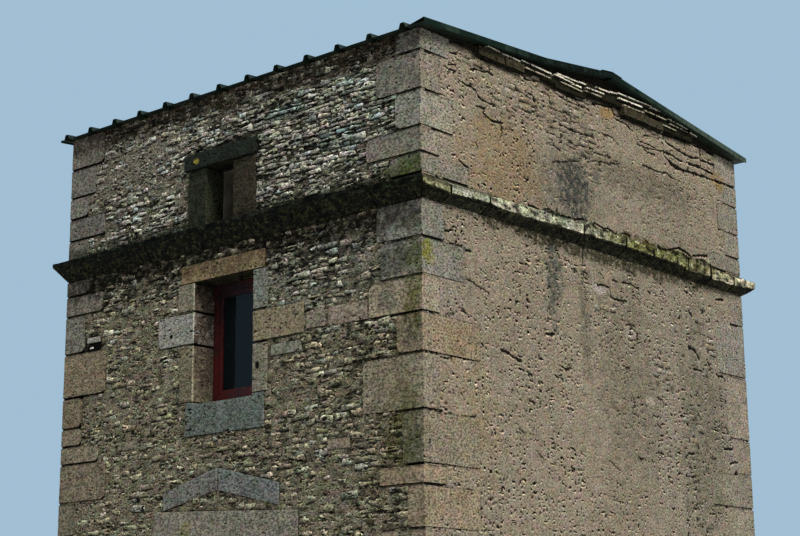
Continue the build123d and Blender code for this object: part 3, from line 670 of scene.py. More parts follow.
# Slanted stones over the door, each end as place, lower edge and upper edge
slantedStones = {
    "door_relieving_stone_left": ((-0.704, 2.768, 2.919), (-0.07, 2.896, 3.078)),
    "door_relieving_stone_right": ((-0.062, 2.894, 3.076), (0.608, 2.738, 2.911)),
    "door_lintel": ((-0.787, lintelFoot, 2.774), (0.822, lintelFoot, 2.694)),
}
# Larger blocks among the rubble, and the two pale stones left in the broken-out hole, with their gray
frontLongStones = [(1.11, 1.52, 4.03, 4.19), (0.88, 1.09, 4.04, 4.18), (0.5, 0.84, 3.88, 3.98),
                   (-1.3, -1.02, 3.3, 3.38), (1.1, 1.34, 3.1, 3.19)]
frontHollowStones = [(-1.725, -1.67, 4.215, 4.25, 0.9), (-1.765, -1.575, 4.268, 4.33, 0.4)]


def boxRect(node):
    low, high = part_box(node)
    return (low[0], high[0], low[2], high[2])


def slantedRects(slices=9):
    rects = []
    for first, last in slantedStones.values():
        for index in range(slices):
            here, there = [[a + (b - a) * (index + step) / slices for a, b in zip(first, last)]
                           for step in (0, 1)]
            rects.append((here[0], there[0], min(here[1], there[1]), max(here[2], there[2])))
    return rects


def frontRects():
    rects = [boxRect(node) for node in ("window_lintel", "window_sill", "flight_hole_lintel",
                                        "flight_hole_jamb_left", "flight_hole_jamb_right", "door_jamb_left",
                                        "door_jamb_right", "door_threshold")]
    bottom = openings["window"][2]
    for side, courses in windowJambs.items():
        inner = openings["window"][0 if side == "left" else 1]
        for low, high, outer in courses:
            rects.append((min(inner, outer), max(inner, outer), bottom + low, bottom + high))
    return rects + list(openings.values()) + slantedRects() + frontLongStones


def cornerRects(wall):
    back = wallPlace(wall).inverted()
    rects = []
    for low, high in cornerBoxes():
        first, second = back @ Vector(low), back @ Vector(high)
        if min(abs(first.y), abs(second.y)) < 0.01:
            rects.append((min(first.x, second.x), max(first.x, second.x), low[2], high[2]))
    return rects


wallRects = {wall: cornerRects(wall) for wall in wallTurn}
wallRects["front"] += frontRects()


# How open the joints are over each wall: 0 is smeared over with mortar, 1 is raked out deep and darkened with
# painted shade
jointZones = {
    "front": {"ground": 0.5, "marks": [
        ((0.0, 2.55), (2.6, 1.85), 0.56), ((-1.4, 4.0), (0.6, 0.8), 0.62), ((1.0, 4.05), (0.9, 0.6), 0.75),
        ((1.0, 5.62), (1.5, 0.5), 1.0), ((-1.35, 5.78), (0.8, 0.3), 0.1), ((-1.2, 5.25), (0.8, 0.28), 0.75),
        ((0.9, 4.7), (1.3, 0.26), 1.0), ((-1.2, 4.68), (0.9, 0.2), 0.85), ((-1.3, 3.2), (0.8, 0.5), 0.5),
        ((0.9, 3.1), (0.9, 0.5), 0.6)]},
    "back": {"ground": 0.5, "marks": [((0.6, 5.6), (1.4, 0.5), 0.9), ((-0.9, 3.2), (0.9, 1.1), 0.25)]},
    "right": {"ground": 0.1, "marks": [
        ((0.95, 6.05), (1.4, 0.2), 0.3), ((-0.45, 6.1), (0.6, 0.1), 0.5), ((-1.72, 6.06), (0.26, 0.08), 0.55),
        ((-1.2, 5.88), (0.42, 0.2), 0.56), ((-0.42, 5.78), (0.46, 0.26), 0.62),
        ((0.05, 4.42), (0.3, 0.13), 0.7), ((1.55, 4.35), (0.34, 0.5), 0.42),
        ((1.35, 3.2), (0.26, 0.55), 0.42), ((1.7, 2.75), (0.28, 0.3), 0.42),
        ((0.9, 3.9), (0.22, 0.16), 0.55), ((-1.0, 2.0), (0.8, 0.5), 0.3)]},
    "left": {"ground": 0.12, "marks": [
        ((0.3, 6.1), (1.6, 0.22), 1.0), ((-1.2, 4.3), (0.5, 0.4), 0.7), ((0.9, 2.6), (0.6, 0.7), 0.6)]},
}


# Places where the face has fallen out, as middle and reach
hollows = {"front": [((-1.662, 4.256), (0.13, 0.092))],
           "right": [((1.6, 4.62), (0.045, 0.02)), ((1.22, 4.165), (0.028, 0.022)),
                     ((1.66, 3.3), (0.05, 0.018)), ((2.03, 3.16), (0.035, 0.06)),
                     ((1.37, 3.08), (0.04, 0.02)), ((-1.6, 6.055), (0.06, 0.016))]}
# Places smeared over smoothly, with few pits
plasterPatches = {"right": [((0.8, 5.32), (1.25, 0.36)), ((-0.05, 3.55), (0.4, 0.5))]}


def hollowness(wall, u, z, places=hollows):
    deepest = 0.0
    for (u0, z0), (reachU, reachZ) in places.get(wall, []):
        away = math.hypot((u - u0) / reachU, (z - z0) / reachZ)
        if away < 2:
            away += 0.45 * ripple(u * 26, z * 26, 7.0)
            deepest = max(deepest, 1 - softStep(0.85, 1.15, away))
    return deepest


def jointOpenness(wall, u, z):
    zones = jointZones[wall]
    value = zones["ground"]
    for (u0, z0), (reachU, reachZ), amount in zones["marks"]:
        away = math.hypot((u - u0) / reachU, (z - z0) / reachZ)
        away += 0.35 * ripple(u * 2.3, z * 2.3, 4.0)
        value += (amount - value) * (1 - softStep(0.6, 1.15, away))
    return min(1.0, max(0.0, value + 0.22 * ripple(u * 1.7, z * 2.6, wallTurn[wall] + 0.5)))


# A few rough block shapes stand for all the rubble of the front and back, and squarer ones for the sides;
# each has a painted highlight along its top and painted shade at its foot
stoneLooks = {
    "front": {"kinds": 28, "arris": (0.03, 0.12), "swing": 0.33, "paintedTopLight": 1.8, "paintedFootShade": 0.95, "seed": 5},
    "side": {"kinds": 14, "arris": (0.04, 0.14), "swing": 0.24, "paintedTopLight": 0.55, "paintedFootShade": 0.6, "seed": 6},
}
paintedTopLightTint = (0.88, 1.0, 1.15)


def stoneShapes(look):
    chance = random.Random(look["seed"])
    shapes = []
    for _ in range(look["kinds"]):
        part = newShape()
        bmesh.ops.create_cube(part, size=1.0)
        for vert in part.verts:
            vert.co.x += chance.uniform(-look["swing"], look["swing"]) * 0.35
            vert.co.z += chance.uniform(-look["swing"], look["swing"])
            if vert.co.y < 0:
                vert.co.y += chance.uniform(0, look["swing"]) * 0.5
        bevelEdges(part, part.edges[:], chance.uniform(*look["arris"]), 1)
        front = min(part.faces, key=lambda face: face.calc_center_median().y)
        bmesh.ops.poke(part, faces=[front], offset=chance.uniform(0.0, 0.06))
        bmesh.ops.recalc_face_normals(part, faces=part.faces)
        # Painted highlight along the top of the stone and painted shade at its foot, kept in the tint
        paintedLightLayer = shapeLayers(part)[0]
        for vert in part.verts:
            edge = vert.co.z * 2
            lit, footShade = (look["paintedTopLight"] * softStep(0.35, 0.9, edge),
                         look["paintedFootShade"] * softStep(0.2, 0.9, -edge))
            vert[paintedLightLayer] = (*(1 + share * lit - footShade for share in paintedTopLightTint), 1)
        shapes.append(toMesh(part, "stoneKind"))
    return shapes


rubbleKinds = {kind: stoneShapes(look) for kind, look in stoneLooks.items()}


def freeRuns(wall, left, right, low, high):
    runs = [(left, right)]
    for u0, u1, z0, z1 in wallRects[wall]:
        if min(high, z1) - max(low, z0) < 0.35 * (high - low):
            continue
        cut = []
        for a, b in runs:
            if u1 <= a or u0 >= b:
                cut.append((a, b))
                continue
            if u0 > a:
                cut.append((a, u0))
            if u1 < b:
                cut.append((u1, b))
        runs = cut
    return runs


rubbleTints = {
    "front": [(0.33, 0.322, 0.262), (0.385, 0.362, 0.298), (0.285, 0.292, 0.243), (0.36, 0.326, 0.268),
              (0.255, 0.242, 0.185), (0.47, 0.45, 0.39), (0.315, 0.28, 0.235), (0.295, 0.315, 0.29),
              (0.345, 0.325, 0.238)],
    "side": [(0.31, 0.268, 0.205), (0.335, 0.292, 0.228), (0.29, 0.255, 0.2), (0.325, 0.27, 0.195),
             (0.345, 0.308, 0.248)],
}
frontRubble = {"heights": (0.03, 0.062), "ratio": (1.1, 3.4), "bedJoint": (-0.008, 0.006), "wideBed": 0.008,
               "wideShare": 0.4, "endJoint": (-0.01, 0.006), "depth": 0.09, "proud": (-0.02, 0.001),
               "sway": 0.04, "tilt": 0.08, "cast": (0.86, 0.82, 0.73), "seed": 11, "shown": 0.0}
sideRubble = {"heights": (0.04, 0.08), "ratio": (1.0, 2.4), "bedJoint": (-0.002, 0.008), "wideBed": 0.006,
              "wideShare": 0.3, "endJoint": (-0.004, 0.008), "depth": 0.09, "proud": (-0.008, 0.004),
              "sway": 0.045, "tilt": 0.12, "cast": (1.0, 1.0, 1.0), "seed": 31, "shown": 0.38}
rubbleLooks = {
    ("front", "Lower"): frontRubble,
    ("front", "Upper"): dict(frontRubble, heights=(0.026, 0.05), ratio=(1.0, 4.0), bedJoint=(-0.012, 0.005),
                             wideBed=0.012, wideShare=0.5, endJoint=(-0.018, 0.003), proud=(-0.012, 0.003),
                             sway=0.06, tilt=0.07, cast=(1.12, 1.11, 1.09), seed=12),
    ("side", "Lower"): sideRubble,
    ("side", "Upper"): dict(sideRubble, heights=(0.04, 0.072), ratio=(1.0, 2.6), proud=(-0.006, 0.004),
                            sway=0.04, tilt=0.09, seed=32),
}


# How stones fit: what stays free under the string, at the start of a run and under the roof, the narrowest
# stone and rest of a run, the least size and the share of its height that a stone fills
rubbleFit = {"top": 0.015, "start": 0.004, "roof": 0.004, "narrow": 0.03, "rest": 0.05,
             "least": (0.025, 0.014), "fills": (0.82, 1.15), "fineSway": 0.009,
             "opens": (-0.05, 0.25), "fallen": 0.2, "pitch": 0.1, "shades": (0.72, 1.22)}


# One stone of a course, set into the wall with its own tilt and shade
def setStone(course, look, chance, kinds, tints, middle, centre, long, tall):
    tilt = chance.uniform(-look["tilt"], look["tilt"])
    pitch = chance.uniform(-rubbleFit["pitch"], rubbleFit["pitch"])
    proud = chance.uniform(*look["proud"])
    flip = chance.choice((-1, 1))
    leastLong, leastTall = rubbleFit["least"]
    size = Matrix.Diagonal((flip * max(leastLong, long), look["depth"], max(leastTall, tall), 1))
    turn = Matrix.Rotation(tilt, 4, "Y") @ Matrix.Rotation(pitch, 4, "X")
    at = Matrix.Translation((middle, look["depth"] / 2 - proud, centre))
    vertStart, faceStart = len(course.verts), len(course.faces)
    course.from_mesh(chance.choice(kinds))
    course.verts.ensure_lookup_table()
    fresh = course.verts[vertStart:]
    bmesh.ops.transform(course, matrix=at @ turn @ size, verts=fresh)
    if flip < 0:
        course.faces.ensure_lookup_table()
        bmesh.ops.reverse_faces(course, faces=course.faces[faceStart:])
    base = chance.choice(tints)
    shade = chance.uniform(*rubbleFit["shades"])
    base = [value * share for value, share in zip(base, look["cast"])]
    tintLayer = shapeLayers(course)[0]
    # Each kind's vertex tint holds its painted highlight and painted shade, which scale the stone's tint
    for vert in fresh:
        edge = vert[tintLayer][0] * shade
        vert[tintLayer] = (base[0] * edge, base[1] * edge, base[2] * edge, 1)


def layRubble(name, wall, bottom, top, look, kinds, tints):
    chance = random.Random(look["seed"] + wallTurn[wall])
    half = wallHalf(wall)
    bm = newShape()
    z = bottom
    while z < top - rubbleFit["top"]:
        height = chance.uniform(*look["heights"])
        bed = look["wideBed"] if chance.random() < look["wideShare"] else 0.0
        course = newShape()
        for runLeft, runRight in freeRuns(wall, -half, half, z, z + height):
            u = runLeft + rubbleFit["start"]
            while u < runRight - rubbleFit["narrow"]:
                width = min(height * chance.uniform(*look["ratio"]), runRight - u)
                if runRight - u - width < rubbleFit["rest"]:
                    width = runRight - u
                middle = u + width / 2
                u += width
                sway = look["sway"] * ripple(middle * 0.9, z * 0.8, look["seed"])
                sway += rubbleFit["fineSway"] * ripple(middle * 6, z * 5, look["seed"])
                centre = z + height / 2 + sway
                roof = wallTop(wall, middle) if top > gableFrom else top
                opened = bed * softStep(*rubbleFit["opens"], ripple(middle * 3.0, z * 9, look["seed"]))
                tall = (height * chance.uniform(*rubbleFit["fills"])
                        - chance.uniform(*look["bedJoint"]) - opened)
                tooHigh = centre + height / 2 > roof - rubbleFit["roof"]
                fallen = hollowness(wall, middle, centre) > rubbleFit["fallen"]
                hidden = jointOpenness(wall, middle, z) < look["shown"] or fallen
                if tooHigh or hidden or centre - height < bottom:
                    continue
                long = width - chance.uniform(*look["endJoint"])
                setStone(course, look, chance, kinds, tints, middle, centre, long, tall)
        joinShape(bm, course)
        z += height
    stone = masonry["rubbleStone" if wall in ("front", "back") else "limeRender"]
    finishPiece(name, bm, stone, sharp=0.9, place=wallPlace(wall))


# Mortar between and over the stones: a fine sheet that sinks where the joints are open
mortarLooks = {
    "front": {"flush": 0.006, "deep": 0.0185, "lump": 0.008, "lumpSize": (0.075, 0.038), "limit": 0.022,
              "shading": -0.45, "tint": (0.246, 0.222, 0.16), "material": "mortarBed", "hollowShadeFrom": 0.0115},
    "side": {"flush": 0.0024, "deep": 0.0105, "lump": 0.005, "lumpSize": (0.12, 0.055), "limit": 0.0112,
             "shading": 0.14, "tint": (0.3, 0.255, 0.192), "material": "limeRender", "hollowShadeFrom": 0.0075},
}
# Relief of all mortar: size and share of its fine noise, wobble of the cracks, how far in half widths a
# crack is cut finer, is dark with painted shade and raises a lip, the lip's painted highlight and the shade
# of smooth patches
mortarRelief = {"fineSize": (0.035, 0.03), "fineShare": 0.35, "wobble": 0.01, "near": 4.5, "cuts": 3,
                "dark": (0.7, 1.5), "lipIn": (1.2, 1.7), "lipOut": (1.6, 3.6), "lipDrop": (0.002, 0.008),
                "lipHeight": 0.003, "lipPaintedHighlight": 0.55, "highest": -0.004, "smooth": 0.45,
                "underLedge": (-0.005, 0.045), "ledgeShade": 0.07}
# Lower edge of the slabs in the gable heads, above which the wall gets the painted shadow of the slabs
ledgeFoot = [(-2.3, 6.13), (-1.7, 6.17), (-1.64, 6.125), (-1.06, 6.13), (-1.0, 6.16), (-0.62, 6.135),
             (-0.18, 6.135), (-0.1, 6.19), (0.3, 6.2), (0.36, 6.14), (1.0, 6.14), (1.5, 6.155), (1.58, 6.19),
             (2.3, 6.12)]
# Cracks and bare joints in the render of the right-hand wall, by half their width in metres. Each is a line
# of points, place across in centimetres and height in millimetres
cracks = {
    0.0048: [
        [-202, 5941, -195, 5936, -189, 5929], [-69, 5963, -53, 5954, -42, 5930],
        [-59, 5887, -42, 5877, -28, 5860], [-54, 5797, -37, 5804, -17, 5817], [-36, 5926, -35, 5833],
        [-25, 5796, -17, 5791, -11, 5743], [-102, 6015, -91, 6001, -83, 5962],
        [-137, 5677, -131, 5625, -133, 5538], [-81, 5815, -67, 5823, -56, 5868], [-58, 5974, -58, 5915],
        [-71, 5739, -60, 5740, -54, 5710], [-53, 5961, -40, 5964, -28, 5947, -22, 5904],
        [-37, 5962, -38, 5884], [-54, 5691, -35, 5727, -23, 5708], [-23, 5708, 0, 5723, 20, 5729],
        [69, 5780, 90, 5767, 108, 5787, 123, 5757], [63, 5949, 80, 5950, 106, 5989],
        [29, 6129, 43, 6144, 59, 6122], [8, 5917, 25, 5918, 33, 5868], [-132, 5629, -130, 5592, -134, 5520],
        [-164, 5427, -162, 5391], [-195, 6165, -179, 6189],
        [-197, 5964, -188, 5995, -186, 5953, -191, 5908], [-99, 5977, -92, 5962], [-100, 6125, -91, 6116],
        [-38, 5970, -36, 5919, -27, 5920, -18, 5909], [-53, 5801, -44, 5795], [-71, 5648, -61, 5663],
        [-52, 5694, -35, 5733], [-65, 5501, -54, 5525, -36, 5567, -18, 5620, 1, 5652, 34, 5703],
        [-173, 5139, -175, 5064], [-211, 5415, -202, 5411], [74, 6061, 87, 6080, 101, 6084],
        [67, 5987, 80, 5994, 95, 5979], [195, 6145, 191, 5968], [71, 5937, 78, 5915, 91, 5918],
        [69, 5100, 74, 5080], [-221, 4859, -212, 4829, -207, 4782, -203, 4712, -202, 4646],
        [-181, 4336, -174, 4329, -164, 4296, -155, 4282, -151, 4270], [-185, 4109, -179, 4071],
        [-113, 4573, -107, 4578, -100, 4571], [-45, 4652, -36, 4646, -33, 4609], [-29, 4659, -21, 4644],
        [-202, 4037, -199, 4055, -193, 4047], [-222, 3727, -214, 3721, -209, 3708, -202, 3707, -196, 3733],
        [-196, 3733, -181, 3731, -168, 3745], [-70, 3750, -59, 3731], [-82, 3610, -73, 3647],
        [-111, 3452, -108, 3408], [-118, 3280, -113, 3263], [-104, 3527, -98, 3502],
        [-167, 2698, -166, 2644, -166, 2582], [-197, 3052, -199, 3018], [-96, 3137, -93, 3106, -86, 3072],
        [-195, 2497, -189, 2485], [-3, 4681, 2, 4666], [15, 4654, 23, 4654], [33, 4855, 35, 4818],
        [37, 4791, 47, 4768, 53, 4749], [45, 4577, 52, 4568, 57, 4536], [137, 4839, 139, 4770],
        [32, 4296, 40, 4317, 48, 4309, 49, 4247, 49, 4178], [177, 4060, 187, 4057, 193, 4022],
        [202, 4069, 219, 4069], [29, 3943, 36, 3947], [49, 3915, 52, 3885],
        [39, 3720, 42, 3661, 41, 3607, 38, 3565], [66, 3799, 73, 3798],
        [78, 3736, 85, 3733, 87, 3697, 85, 3664], [69, 3575, 78, 3579], [36, 3464, 39, 3419],
        [71, 3267, 81, 3272], [42, 3219, 46, 3198, 52, 3199], [2, 3147, 8, 3115, 18, 3076]],
    0.007: [
        [-117, 6218, -101, 6234, -82, 6255], [-101, 6117, -91, 6112, -79, 6159],
        [-66, 6109, -52, 6108, -26, 6140, -15, 6153, 0, 6137], [-68, 5643, -60, 5646, -53, 5619],
        [-53, 5845, -39, 5841, -24, 5841, -12, 5840], [-10, 6147, 6, 6170, 25, 6188, 29, 6109],
        [29, 6099, 46, 6091, 57, 6055], [106, 5947, 120, 5897, 139, 5876],
        [-52, 6088, -43, 6083, -33, 6078, -24, 6084],
        [-180, 5872, -175, 5861, -169, 5865, -163, 5841, -161, 5805, -154, 5792, -144, 5790, -134, 5800],
        [-163, 5721, -152, 5728, -154, 5688, -145, 5649, -130, 5665],
        [-196, 6060, -183, 6092, -178, 6074, -162, 6107, -153, 6134],
        [-169, 6011, -156, 6030, -147, 6041, -141, 6030], [-146, 6094, -145, 6045], [-71, 6105, -62, 6107],
        [-51, 6112, -46, 6104, -29, 6125, -14, 6164], [-70, 5840, -58, 5865],
        [-185, 5239, -174, 5200, -173, 5139], [105, 6141, 135, 6170, 153, 6179],
        [107, 6087, 122, 6064, 151, 6033, 166, 6060], [106, 5984, 121, 5978, 137, 5962],
        [147, 5969, 169, 5974, 191, 5958], [168, 6048, 192, 6055], [115, 5897, 125, 5875, 140, 5883],
        [140, 5883, 168, 5895, 187, 5903, 206, 5900, 228, 5904],
        [159, 6160, 171, 6175, 183, 6150, 197, 6161], [106, 6155, 106, 5983], [139, 6168, 144, 6082],
        [169, 6151, 169, 6042],
        [-99, 5066, -88, 5064, -81, 5057, -72, 5096, -64, 5071, -53, 5071, -39, 5068, -24, 5102],
        [-24, 5102, -17, 5078, -6, 5100, 5, 5077, 13, 5092, 25, 5060],
        [32, 5090, 39, 5099, 45, 5082, 47, 5060],
        [89, 5076, 100, 5071, 111, 5092, 123, 5129, 134, 5114, 143, 5087],
        [147, 5099, 160, 5128, 172, 5144], [-203, 4655, -193, 4688],
        [-198, 4571, -189, 4578, -181, 4560, -173, 4555], [-222, 4023, -216, 4016],
        [-186, 4088, -181, 4078], [-107, 3735, -100, 3713], [-217, 3313, -209, 3322],
        [-188, 3302, -178, 3304, -170, 3324], [-60, 3826, -51, 3814], [-224, 2925, -214, 2921],
        [-206, 2986, -203, 2957, -201, 2936], [-208, 2770, -200, 2734, -188, 2773],
        [-187, 2778, -174, 2779, -169, 2767, -167, 2698],
        [-7, 4578, 3, 4590, 10, 4583, 12, 4541, 12, 4503, 22, 4496, 36, 4508],
        [30, 4660, 43, 4671, 51, 4651, 56, 4649], [134, 4586, 140, 4543], [184, 4759, 197, 4779],
        [207, 4559, 219, 4556], [210, 4328, 214, 4270], [163, 4162, 167, 4125, 167, 4088],
        [139, 4063, 152, 4064], [76, 3514, 82, 3481], [140, 3413, 142, 3344],
        [120, 3286, 125, 3311, 133, 3312], [184, 3403, 199, 3410], [193, 3277, 209, 3305],
        [189, 3602, 192, 3553, 200, 3540]],
    0.01: [
        [-26, 4920, -26, 4822, -27, 4714], [-138, 3858, -127, 3842, -121, 3819, -113, 3803],
        [-81, 4062, -69, 4078], [-201, 3310, -195, 3286, -189, 3264], [70, 4651, 73, 4637],
        [132, 4248, 140, 4243, 145, 4210, 149, 4169], [165, 4252, 174, 4259], [192, 4283, 204, 4310],
        [113, 3626, 120, 3608, 125, 3558], [115, 3430, 123, 3426, 132, 3420], [127, 3109, 135, 3091]],
}


crackCell = 0.1
crackReach = 0.05
crackWiden = 0.35


def cellRange(first, last):
    low, high = min(first, last) - crackReach, max(first, last) + crackReach
    return range(math.floor(low / crackCell), math.floor(high / crackCell) + 1)


# Each cell of a coarse grid lists the cracks that pass near it. Cracks are wider away from the camera
def crackGrid():
    cells = {}
    for width, lines in cracks.items():
        for line in lines:
            points = [(across / 100, height / 1000) for across, height in zip(line[::2], line[1::2])]
            for (u0, z0), (u1, z1) in zip(points, points[1:]):
                wide = width * (1 + crackWiden * softStep(0.4, 1.2, u0))
                crack = (wide, Vector((u0, z0)), Vector((u1, z1)))
                for cell in itertools.product(cellRange(u0, u1), cellRange(z0, z1)):
                    cells.setdefault(cell, []).append(crack)
    return cells


crackCells = crackGrid()


def inHole(u, z):
    edge = 0.012
    return any(u0 - edge < u < u1 + edge and z0 - edge < z < z1 + edge
               for u0, u1, z0, z1 in openings.values())


# Distance to the nearest crack in half widths, and how far below it the place lies
def crackDistance(wall, u, z):
    nearest, drop = 99.0, 0.0
    place = Vector((u, z))
    cell = (math.floor(u / crackCell), math.floor(z / crackCell))
    for width, start, end in crackCells.get(cell, []) if wall == "right" else []:
        along = end - start
        share = min(1.0, max(0.0, (place - start).dot(along) / along.length_squared))
        offset = start + along * share - place
        if offset.length / width < nearest:
            nearest, drop = offset.length / width, offset.y
    return nearest, drop


# Mortar sinks a finger short of the dressed stones, which leaves their joints open
def underStone(wall, u, z, edge):
    return any(u0 + edge < u < u1 - edge and z0 + edge < z < z1 - edge for u0, u1, z0, z1 in wallRects[wall])


def mortarPlace(wall, vert, bottom, top):
    u = vert.co.x * 2 * (wallHalf(wall) - 0.012)
    roof = wallTop(wall, u) - 0.003 if top > gableFrom else top
    return u, bottom + (vert.co.y + 0.5) * (roof - bottom)


def spreadMortar(name, wall, bottom, top, look, step):
    columns = round(2 * wallHalf(wall) / step)
    rows = round((top - bottom) / step)
    bm = newShape()
    bmesh.ops.create_grid(bm, x_segments=columns, y_segments=rows, size=0.5)
    relief = mortarRelief
    cracked = {vert for vert in bm.verts
               if crackDistance(wall, *mortarPlace(wall, vert, bottom, top))[0] < relief["near"]}
    edges = [edge for edge in bm.edges if edge.verts[0] in cracked and edge.verts[1] in cracked]
    if edges:
        bmesh.ops.subdivide_edges(bm, edges=edges, cuts=relief["cuts"], use_grid_fill=True)
    tintLayer, hollowShadeLayer = shapeLayers(bm)
    wide, tall = look["lumpSize"]
    fineWide, fineTall = relief["fineSize"]
    for vert in bm.verts:
        u, z = mortarPlace(wall, vert, bottom, top)
        openJoint = jointOpenness(wall, u, z)
        lump = ripple(u / wide, z / tall, 2.0 + wallTurn[wall])
        fine = relief["fineShare"] * ripple(u / fineWide, z / fineTall, 8.0)
        depth = look["flush"] + (look["deep"] - look["flush"]) * openJoint + look["lump"] * (lump + fine)
        sideways, upwards = (relief["wobble"] * ripple(u * 26, z * 26, layer) for layer in (3.0, 9.0))
        gap, drop = crackDistance(wall, u + sideways, z + upwards)
        gap += 0.5 * ripple(u * 17, z * 17, 5.0)
        depth += (look["limit"] - depth) * max(1 - softStep(*relief["dark"], gap), hollowness(wall, u, z))
        lip = (1 - softStep(*relief["lipOut"], gap)) * softStep(*relief["lipIn"], gap)
        lip *= softStep(*relief["lipDrop"], drop)
        depth -= relief["lipHeight"] * lip
        if underStone(wall, u, z, step * 0.45):
            depth = look["limit"]
        depth = min(look["limit"], max(relief["highest"], depth))
        vert.co = Vector((u, depth, z))
        # On the front, sunk mortar gets painted shade; the lip under a crack gets a painted highlight
        shade = 1 + look["shading"] * lump + 0.1 * ripple(u * 1.3, z * 1.3, 1.0) + relief["lipPaintedHighlight"] * lip
        # Painted shadow of the gable slabs on the wall below them
        if wall in ("left", "right") and top > gableFrom:
            below = alongLine(ledgeFoot, u if wall == "right" else -u) - z + 0.02 * lump
            dark = relief["ledgeShade"]
            shade *= dark + (1 - dark) * softStep(*relief["underLedge"], below)
        pitted = 1 - relief["smooth"] * hollowness(wall, u, z, plasterPatches)
        vert[tintLayer] = (*(value * shade for value in look["tint"]), pitted)
        # Painted shade: the deeper the mortar lies, the darker it is painted
        vert[hollowShadeLayer] = softStep(look["hollowShadeFrom"], look["limit"] * 0.98, depth)
    if wall == "front":
        gone = [face for face in bm.faces if any(inHole(vert.co.x, vert.co.z) for vert in face.verts)]
        bmesh.ops.delete(bm, geom=gone, context="FACES")
    finishPiece(name, bm, masonry[look["material"]], sharp=3.2, place=wallPlace(wall))


stages = {"Lower": (0.0, house["stringBottom"] + 0.01), "Upper": (house["stringTop"] - 0.01, 6.18)}
mortarSteps = {"front": (0.026, 0.022), "right": (0.022, 0.018),
               "back": (0.036, 0.032), "left": (0.032, 0.028)}
for wall in wallTurn:
    kind = "front" if wall in ("front", "back") else "side"
    for stage, (bottom, top) in stages.items():
        look = rubbleLooks[kind, stage]
        if wall == "back":
            look = dict(look, heights=(0.038, 0.074))
        layRubble(wall + "Rubble" + stage, wall, bottom, top, look, rubbleKinds[kind], rubbleTints[kind])
        step = mortarSteps[wall][0 if stage == "Lower" else 1]
        spreadMortar(wall + "Mortar" + stage, wall, bottom, top, mortarLooks[kind], step)
print("walls built")

# Dressed stones round the openings: the modelled stones, worn, each with its own tint
surroundLook = {"arris": 0.007, "step": 0.05, "rough": 0.004, "chips": 0.018, "joint": 0.012, "rim": 0.018,
                "paleArris": 1.9}
# Each is listed as its courses: their tops over the foot of the window, and their tints
surroundCourses = {
    "window_lintel": [(beyond, (0.29, 0.215, 0.125))], "window_sill": [(beyond, (0.155, 0.18, 0.165))],
    "window_jamb_left": [(0.469, (0.24, 0.212, 0.152)), (0.742, (0.345, 0.34, 0.31)),
                         (beyond, (0.275, 0.25, 0.192))],
    "window_jamb_right": [(0.392, (0.25, 0.235, 0.18)), (0.651, (0.29, 0.245, 0.165)),
                          (beyond, (0.24, 0.25, 0.205))],
    "flight_hole_lintel": [(beyond, (0.025, 0.031, 0.024))],
    "flight_hole_jamb_left": [(beyond, (0.042, 0.046, 0.03))],
    "flight_hole_jamb_right": [(beyond, (0.062, 0.052, 0.036))],
    "door_lintel": [(beyond, (0.27, 0.246, 0.2))],
    "door_relieving_stone_left": [(beyond, (0.2, 0.198, 0.177))],
    "door_relieving_stone_right": [(beyond, (0.196, 0.204, 0.196))],
    "door_jamb_left": [(beyond, (0.23, 0.212, 0.17))], "door_jamb_right": [(beyond, (0.23, 0.212, 0.17))],
    "door_threshold": [(beyond, (0.2, 0.19, 0.16))],
}


# A stone between slanted edges: the lintel keeps its own ends and has its top drawn to the line
def slantedShape(node):
    first, last = slantedStones[node]
    low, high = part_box(node)
    if node == "door_lintel":
        part = nodeShape(node)
        middle = (low[2] + high[2]) / 2
        for vert in part.verts:
            if vert.co.z > middle:
                vert.co.z = alongLine([(first[0], first[2]), (last[0], last[2])], vert.co.x)
        return part
    part = blockShape((first[0], low[1], 0.0), (last[0], high[1], 1.0))
    for vert in part.verts:
        _, bottom, top = first if vert.co.x < (first[0] + last[0]) / 2 else last
        vert.co.z = bottom + (top - bottom) * vert.co.z
    return part


def buildSurrounds(look):
    base = openings["window"][2]
    for index, (node, courses) in enumerate(surroundCourses.items()):
        bm = newShape()
        low = -beyond
        for course, (top, tint) in enumerate(courses):
            part = slantedShape(node) if node in slantedStones else nodeShape(node)
            if len(courses) > 1:
                cutBetween(part, 2, base + low + look["joint"] / 2, base + top - look["joint"] / 2)
            wearShape(part, look, 100 + index + 20 * course)
            fresh = addShape(bm, part, tint)
            if node == "window_jamb_left":
                arris = [vert for vert in fresh if abs(vert.co.x - openings["window"][0]) < look["rim"] * 0.8
                         and vert.co.y < -house["halfDepth"] + look["rim"] * 0.8]
                paintVerts(bm, arris, [value * look["paleArris"] for value in tint])
            low = top
        stone = masonry["dressedStone" if node.startswith("door") else "surroundStone"]
        finishPiece(node + "_worn", bm, stone, replaced=[node])


blockTints = [(0.33, 0.27, 0.215), (0.29, 0.255, 0.205), (0.25, 0.255, 0.205), (0.26, 0.235, 0.18)]
brokenLook = {"arris": 0.012, "step": 0.02, "rough": 0.01, "chips": 0.03}


def buildFrontBlocks(look):
    bm = newShape()
    for index, (left, right, low, high) in enumerate(frontLongStones):
        part = blockShape((left + 0.004, 0.004, low + 0.004), (right - 0.004, 0.1, high - 0.004))
        wearShape(part, look, 300 + index)
        addShape(bm, part, blockTints[index % len(blockTints)])
    for index, (left, right, low, high, gray) in enumerate(frontHollowStones):
        part = blockShape((left, 0.004, low), (right, 0.06, high))
        wearShape(part, brokenLook, 320 + index)
        addShape(bm, part, (gray, gray * 0.97, gray * 0.88))
    finishPiece("frontLongBlocks", bm, masonry["surroundStone"], place=wallPlace("front"))


buildSurrounds(surroundLook)
buildFrontBlocks(surroundLook)
print("surrounds worn")

